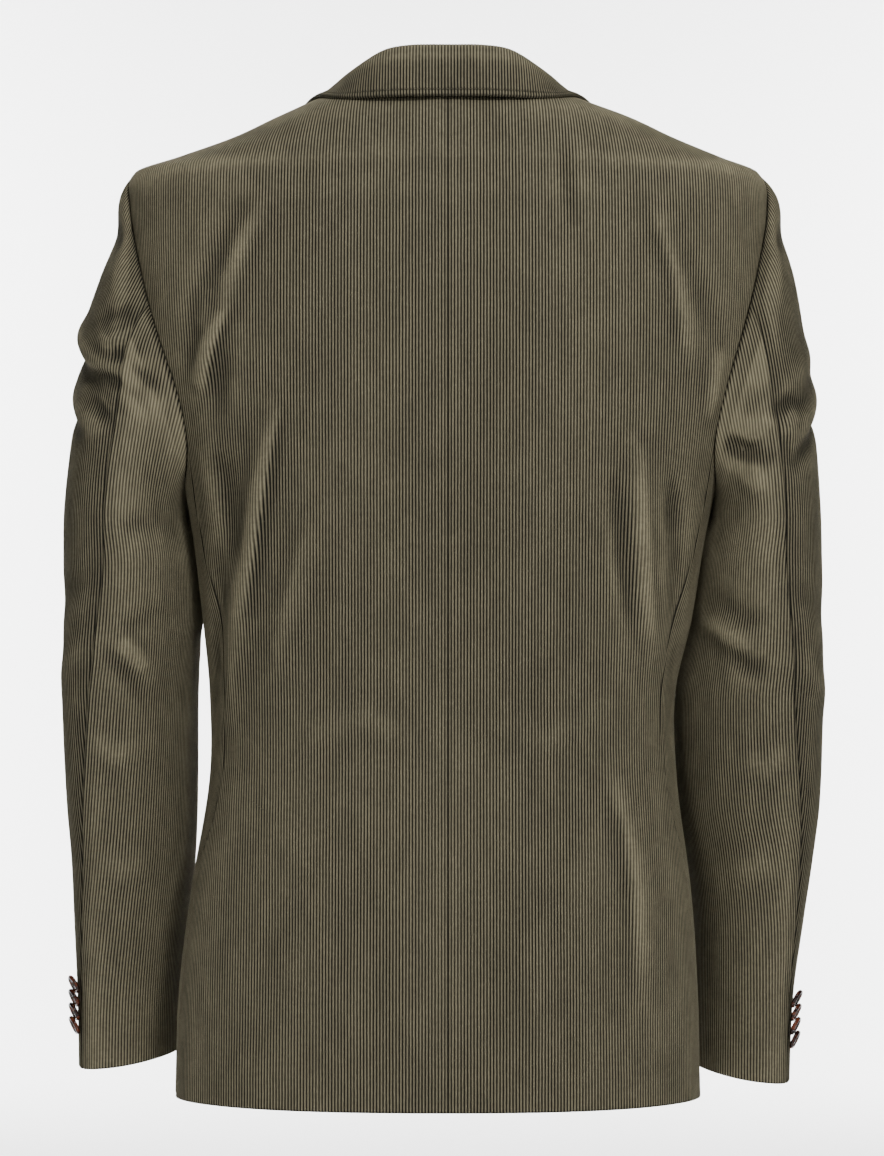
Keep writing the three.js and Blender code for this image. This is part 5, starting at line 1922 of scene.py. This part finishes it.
class Material:
    """A material under construction: a Principled surface with groups plugged into it."""

    def __init__(self, name: str, **constants: float | Colour):
        """Start a material.

        Args:
            name: its name.
            constants: values of the surface's own sockets, with underscores for spaces.
        """
        self.data = bpy.data.materials.new(name)
        self.data.use_nodes = True
        self.nodes = self.data.node_tree.nodes
        self.surface = self.nodes["Principled BSDF"]
        for label, value in constants.items():
            socket = self.surface.inputs[label.replace("_", " ")]
            socket.default_value = (*value, 1) if isinstance(value, tuple) else value

    def group(self, tree: bpy.types.NodeTree, **values: object) -> bpy.types.Node:
        """Add a group, with links and constants for its inputs."""
        node = self.nodes.new("ShaderNodeGroup")
        node.node_tree = tree
        for label, value in values.items():
            if isinstance(value, bpy.types.NodeSocket):
                self.link(value, node.inputs[label])
            elif isinstance(value, tuple):
                node.inputs[label].default_value = (*value, 1)
            else:
                node.inputs[label].default_value = value
        return node

    def link(self, source: bpy.types.NodeSocket, target: bpy.types.NodeSocket) -> None:
        """Join an output to an input."""
        self.data.node_tree.links.new(source, target)

    def bump(self, height: bpy.types.NodeSocket, strength: float, distance: float) -> None:
        """Shade small relief.

        Args:
            height: the relief's height, from 0 to 1.
            strength: how strongly it shades.
            distance: its height in metres.
        """
        node = self.nodes.new("ShaderNodeBump")
        node.inputs["Strength"].default_value = strength
        node.inputs["Distance"].default_value = distance
        self.link(height, node.inputs["Height"])
        self.link(node.outputs[0], self.surface.inputs["Normal"])


@dataclass(frozen=True)
class Finishes:
    """The jacket's finishes, built once."""

    cord: bpy.types.Material
    backing: bpy.types.Material
    horn: bpy.types.Material
    thread: bpy.types.Material

    @property
    def cloth(self) -> tuple[bpy.types.Material, bpy.types.Material]:
        """The two faces of a piece of cloth, in the order of Face."""
        return self.cord, self.backing


@dataclass(frozen=True)
class CordFinish:
    """Velvety cotton cord with painted shade in the grooves between the wales."""

    crest: Colour = linear(136, 129, 105)
    # The near-black colour in the grooves is painted shade.
    valley: Colour = linear(19, 17, 11)
    groove: float = 0.86

    def build(self) -> bpy.types.Material:
        """Make the material."""
        cord = Material(
            "corduroy",
            Specular_IOR_Level=0.22,
            Sheen_Weight=0.1,
            Sheen_Roughness=0.45,
            Sheen_Tint=linear(176, 172, 142),
        )
        wales = cord.group(wales_group(), Pitch=WALES.pitch * METRES, Groove=self.groove)
        nap = cord.group(nap_group())
        # The colour takes painted shade in the grooves and painted light on ridges, troughs and seams.
        colour = cord.group(
            cord_colour_group(),
            Crest=self.crest,
            Valley=self.valley,
            Groove=wales.outputs["Groove"],
            Streak=wales.outputs["Streak"],
            Patch=nap.outputs["Patch"],
            Mottle=nap.outputs["Mottle"],
            Press=nap.outputs["Press"],
        )
        cord.link(colour.outputs["Color"], cord.surface.inputs["Base Color"])
        cord.link(colour.outputs["Roughness"], cord.surface.inputs["Roughness"])
        cord.bump(wales.outputs["Height"], 0.5, 0.0003)
        return cord.data


@dataclass(frozen=True)
class BackingFinish:
    """The plain woven back of the cloth."""

    colour: Colour = linear(92, 87, 70)

    def build(self) -> bpy.types.Material:
        """Make the material."""
        backing = Material("backing", Base_Color=self.colour, Roughness=0.88, Sheen_Weight=0.08)
        weave = Group("weave", {}, {"Height": "Float"})
        at = weave.node("ShaderNodeUVMap", uv_map="cloth").outputs[0]
        weave.link(weave.noise(at, (1500, 1500, 1), 1), weave.outputs["Height"])
        node = backing.group(weave.tree)
        backing.bump(node.outputs["Height"], 0.35, 0.0002)
        return backing.data


@dataclass(frozen=True)
class HornFinish:
    """Polished, marbled horn under a clear gloss."""

    def build(self) -> bpy.types.Material:
        """Make the material."""
        horn = Material("horn", Coat_Weight=0.25, Coat_Roughness=0.12, Specular_IOR_Level=0.4)
        colour = horn.group(
            horn_group(), Dark=linear(34, 14, 10), Warm=linear(112, 52, 30), Vein=linear(170, 110, 74)
        )
        horn.link(colour.outputs["Color"], horn.surface.inputs["Base Color"])
        horn.link(colour.outputs["Roughness"], horn.surface.inputs["Roughness"])
        return horn.data


@dataclass(frozen=True)
class ThreadFinish:
    """Sewing thread in the cloth's own shade."""

    colour: Colour = linear(84, 79, 60)

    def build(self) -> bpy.types.Material:
        """Make the material."""
        return Material("thread", Base_Color=self.colour, Roughness=0.7, Sheen_Weight=0.1).data


@dataclass(frozen=True)
class Studio:
    """A pale floor and backdrop, soft lamps and the camera behind the jacket."""

    floor_z: float = -1.12
    wall_y: float = -4.6
    radius: float = 1.4
    shade: float = 0.95

    def backdrop(self) -> bpy.types.Object:
        """The floor, which turns up into the wall behind the jacket."""
        turn = np.linspace(0, math.pi / 2, 17)
        y = np.concatenate([[5.5], self.wall_y + self.radius * (1 - np.sin(turn))])
        z = np.concatenate([[0], self.radius * (1 - np.cos(turn))]) + self.floor_z
        y, z = np.append(y, self.wall_y), np.append(z, 3.2)
        line = np.stack([y, z], axis=1)
        ends = [np.insert(line, 0, x, axis=1) for x in (-5.0, 5.0)]
        points = np.concatenate(ends) / METRES
        index = np.arange(len(points)).reshape(2, -1)
        paper = Material("paper", Base_Color=(self.shade,) * 3, Roughness=0.9)
        side = paper.nodes.new("ShaderNodeNewGeometry")
        front = paper.nodes.new("ShaderNodeMath")
        front.operation = "SUBTRACT"
        front.inputs[0].default_value = 1
        paper.link(side.outputs["Backfacing"], front.inputs[1])
        paper.link(front.outputs[0], paper.surface.inputs["Alpha"])
        return make_object("backdrop", points, grid_faces(index, False), [paper.data], sharp=180)

    def lamp(self, name: str, at: Colour, aim: Colour, size: float, power: float) -> None:
        """Hang a soft square lamp.

        Args:
            name: the lamp's name.
            at: where it hangs, in metres.
            aim: what it faces.
            size: its side.
            power: its power in watts.
        """
        data = bpy.data.lights.new(name, "AREA")
        data.shape = "SQUARE"
        data.size = size
        data.energy = power
        lamp = bpy.data.objects.new(name, data)
        lamp.location = at
        lamp.rotation_euler = (Vector(aim) - Vector(at)).to_track_quat("-Z", "Y").to_euler()
        bpy.context.scene.collection.objects.link(lamp)

    def light(self) -> None:
        """Light the jacket from all round, most of it from the camera's side."""
        middle = (0.0, 0.0, -0.36)
        self.lamp("key", (-0.8, 2.2, 1.4), middle, 0.5, 48)
        self.lamp("fill", (1.0, 2.7, 0.3), middle, 1.0, 13)
        self.lamp("top", (0.0, 0.6, 1.9), middle, 1.4, 10)
        self.lamp("front", (0.9, -2.4, 0.9), middle, 1.0, 22)
        for side in (-1, 1):
            self.lamp(f"wall {side}", (1.9 * side, -3.2, 0.3), (0.0, self.wall_y, -0.5), 1.4, 220)
        world = bpy.data.worlds.new("studio")
        world.use_nodes = True
        background = world.node_tree.nodes["Background"]
        background.inputs["Color"].default_value = (1, 1, 1, 1)
        seen = world.node_tree.nodes.new("ShaderNodeLightPath")
        strength = world.node_tree.nodes.new("ShaderNodeMapRange")
        strength.inputs["To Min"].default_value = 0.08
        strength.inputs["To Max"].default_value = 1.2
        world.node_tree.links.new(seen.outputs["Is Camera Ray"], strength.inputs["Value"])
        world.node_tree.links.new(strength.outputs[0], background.inputs["Strength"])
        bpy.context.scene.world = world

    def aim_camera(self) -> None:
        """Stand the camera square behind the jacket."""
        data = bpy.data.cameras.new("camera")
        data.sensor_fit = "HORIZONTAL"
        data.sensor_width = 36
        data.lens = 165.34
        camera = bpy.data.objects.new("camera", data)
        camera.location = (0.0043, 3.0, -0.355)
        camera.rotation_euler = (math.pi / 2, 0, math.pi)
        bpy.context.scene.collection.objects.link(camera)
        bpy.context.scene.camera = camera

    def build(self) -> None:
        """Set the stage."""
        self.backdrop()
        self.light()
        self.aim_camera()


# The top sleeves are painted darker as a whole, partly for their pile's direction and partly as
# painted shade on the sleeves' outer sides; the collar is painted a little darker as a whole.
TOP_SLEEVE_NAP_AND_SHADE = -0.75
COLLAR_DARKENING = -0.35
EDGE_STITCH = 5.0
VENT_STITCH = ((151.0, -509.5), (131.5, -523.0))
VENT_STITCH_PLACES = 12
VENT_STITCH_LIFT = 0.15
STITCH_SIZES = (2.4, 3.3, 0.24)


@dataclass
class Jacket:
    """The whole jacket: its cloth, its buttons and its sewing."""

    finishes: Finishes

    def keep(self, obj: bpy.types.Object, nodes: Sequence[str]) -> bpy.types.Object:
        """Set a piece on the jacket, in place of its nodes."""
        if nodes:
            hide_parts(*nodes)
        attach(obj, "root")
        LOG.info("%s: %d triangles", obj.name, len(obj.data.polygons))
        return obj

    def cloth(self, name: str, strip: Strip, nap: float = 0, stitch: float = 0) -> None:
        """Sew a piece of cloth in place of the node of that name.

        Args:
            name: the node.
            strip: the piece's strip.
            nap: how much lighter its whole cord is painted, or darker where it is below 0, partly for
                the pile's direction and partly as painted shade.
            stitch: how far in from its edges it is stitched down, or 0 where it isn't.
        """
        obj = sew(f"cloth_{name}", strip, self.finishes.cloth, nap, stitch)
        self.keep(obj, [name])
        width, length, area = strip.cut()
        LOG.info("%s: cut %.3f by %.3f m, %.4f m2", name, width, length, area)

    def body(self, form: BodyForm) -> None:
        """Build one side's body panels."""
        panels = BodyPanels(form)
        word = form.hand.word
        self.cloth(f"back_{word}", panels.back())
        self.cloth(f"side_{word}", panels.side())
        self.cloth(f"front_{word}", panels.front())
        self.cloth(f"lapel_{word}", panels.lapel())
        self.vent_stitches(form)

    def vent_stitches(self, form: BodyForm) -> None:
        """Sew the slanted row of stitches over one side's vent."""
        share = np.linspace(0, 1, VENT_STITCH_PLACES)
        (across, high), (inner, low) = VENT_STITCH
        z = mix(high, low, share)
        u = form.back.length_at_width(mix(across, inner, share), z)
        line, normals = form.cloth(u, z, np.full_like(z, VENT_STITCH_LIFT))
        self.stitch_row(f"vent_stitches_{form.hand.word}", line, normals)

    def stitch_row(self, name: str, line: Array, normals: Array) -> None:
        """Sew a row of stitches along a line on the cloth, with the cloth's normals."""
        points, faces = stitches(line, normals, *STITCH_SIZES)
        obj = make_object(name, points, faces, [self.finishes.thread])
        self.keep(obj, [])

    def sleeve(self, form: SleeveForm) -> None:
        """Build one sleeve with its buttons."""
        panels = SleevePanels(form)
        word = form.hand.word
        self.cloth(f"sleeve_top_{word}", panels.top(), TOP_SLEEVE_NAP_AND_SHADE)
        self.cloth(f"sleeve_under_{word}", panels.under())
        for k in range(CUFF_BUTTONS):
            z = CUFF_Z[form.hand] + CUFF_BUTTON_RISE + CUFF_BUTTON_PITCH * (CUFF_BUTTONS - 1 - k)
            angle = form.hind(np.array([z])) + CUFF_BUTTON_IN
            point, normal = form.cloth(angle, np.array([z]))
            lift = CUFF_BUTTON.radius * math.sin(CUFF_BUTTON_LEAN) + SEAM
            place = point[0] + normal[0] * lift
            turned = basis(normal[0], CUFF_BUTTON_LEAN)
            self.button(f"cuff_button_{word}_{k + 1}", CUFF_BUTTON, place, turned)

    def button(self, name: str, button: Button, place: Array, turned: Array) -> None:
        """Sew on one button.

        Args:
            name: the node it stands for.
            button: its sizes.
            place: the middle of its back.
            turned: its three directions, as columns.
        """
        points, faces = button.shape()
        points = points @ turned.T + place
        obj = make_object(f"horn_{name}", points, faces, [self.finishes.horn], sharp=60)
        self.keep(obj, [name])
        reach = button.hole_place * 0.75
        top = button.thickness * 0.7
        starts = np.array([(reach, reach, top), (-reach, reach, top)])
        ends = np.array([(-reach, -reach, top), (reach, -reach, top)])
        ups = np.tile(turned[:, 2], (2, 1))
        points, faces = threads(
            starts @ turned.T + place, ends @ turned.T + place, ups, 0.35, 0.25
        )
        obj = make_object(f"thread_{name}", points, faces, [self.finishes.thread], sharp=60)
        self.keep(obj, [])

    def front_buttons(self, form: BodyForm) -> None:
        """Sew the two front buttons on the left front."""
        for k, height in enumerate(FRONT_BUTTON_Z):
            z = np.array([height])
            u = form.whole(z)
            point, normal = form.cloth(u, z, form.front_lift(u, z) + SEAM)
            self.button(f"front_button_{k + 1}", FRONT_BUTTON, point[0], basis(normal[0], 0))

    def collar(self, collar: Collar) -> None:
        """Build the collar and its topstitching."""
        self.cloth("collar", collar.strip(), COLLAR_DARKENING, EDGE_STITCH)
        line, normals = collar.stitch_line(EDGE_STITCH)
        self.stitch_row("collar_stitches", line[2:-2], normals[2:-2])


def main() -> None:
    """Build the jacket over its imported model, and its studio."""
    logging.basicConfig(level=logging.INFO, format="%(message)s")
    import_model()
    finishes = Finishes(
        CordFinish().build(), BackingFinish().build(), HornFinish().build(), ThreadFinish().build()
    )
    jacket = Jacket(finishes)
    for hand in Hand:
        form = BodyForm(hand, BODY_FOLDS[hand], BACK_CREASES[hand])
        jacket.body(form)
        jacket.sleeve(SleeveForm(hand, form, SLEEVE_FOLDS[hand], SLEEVE_CREASES[hand]))
        if hand is Hand.LEFT:
            jacket.front_buttons(form)
    jacket.collar(Collar())
    Studio().build()


if __name__ == "__main__":
    main()
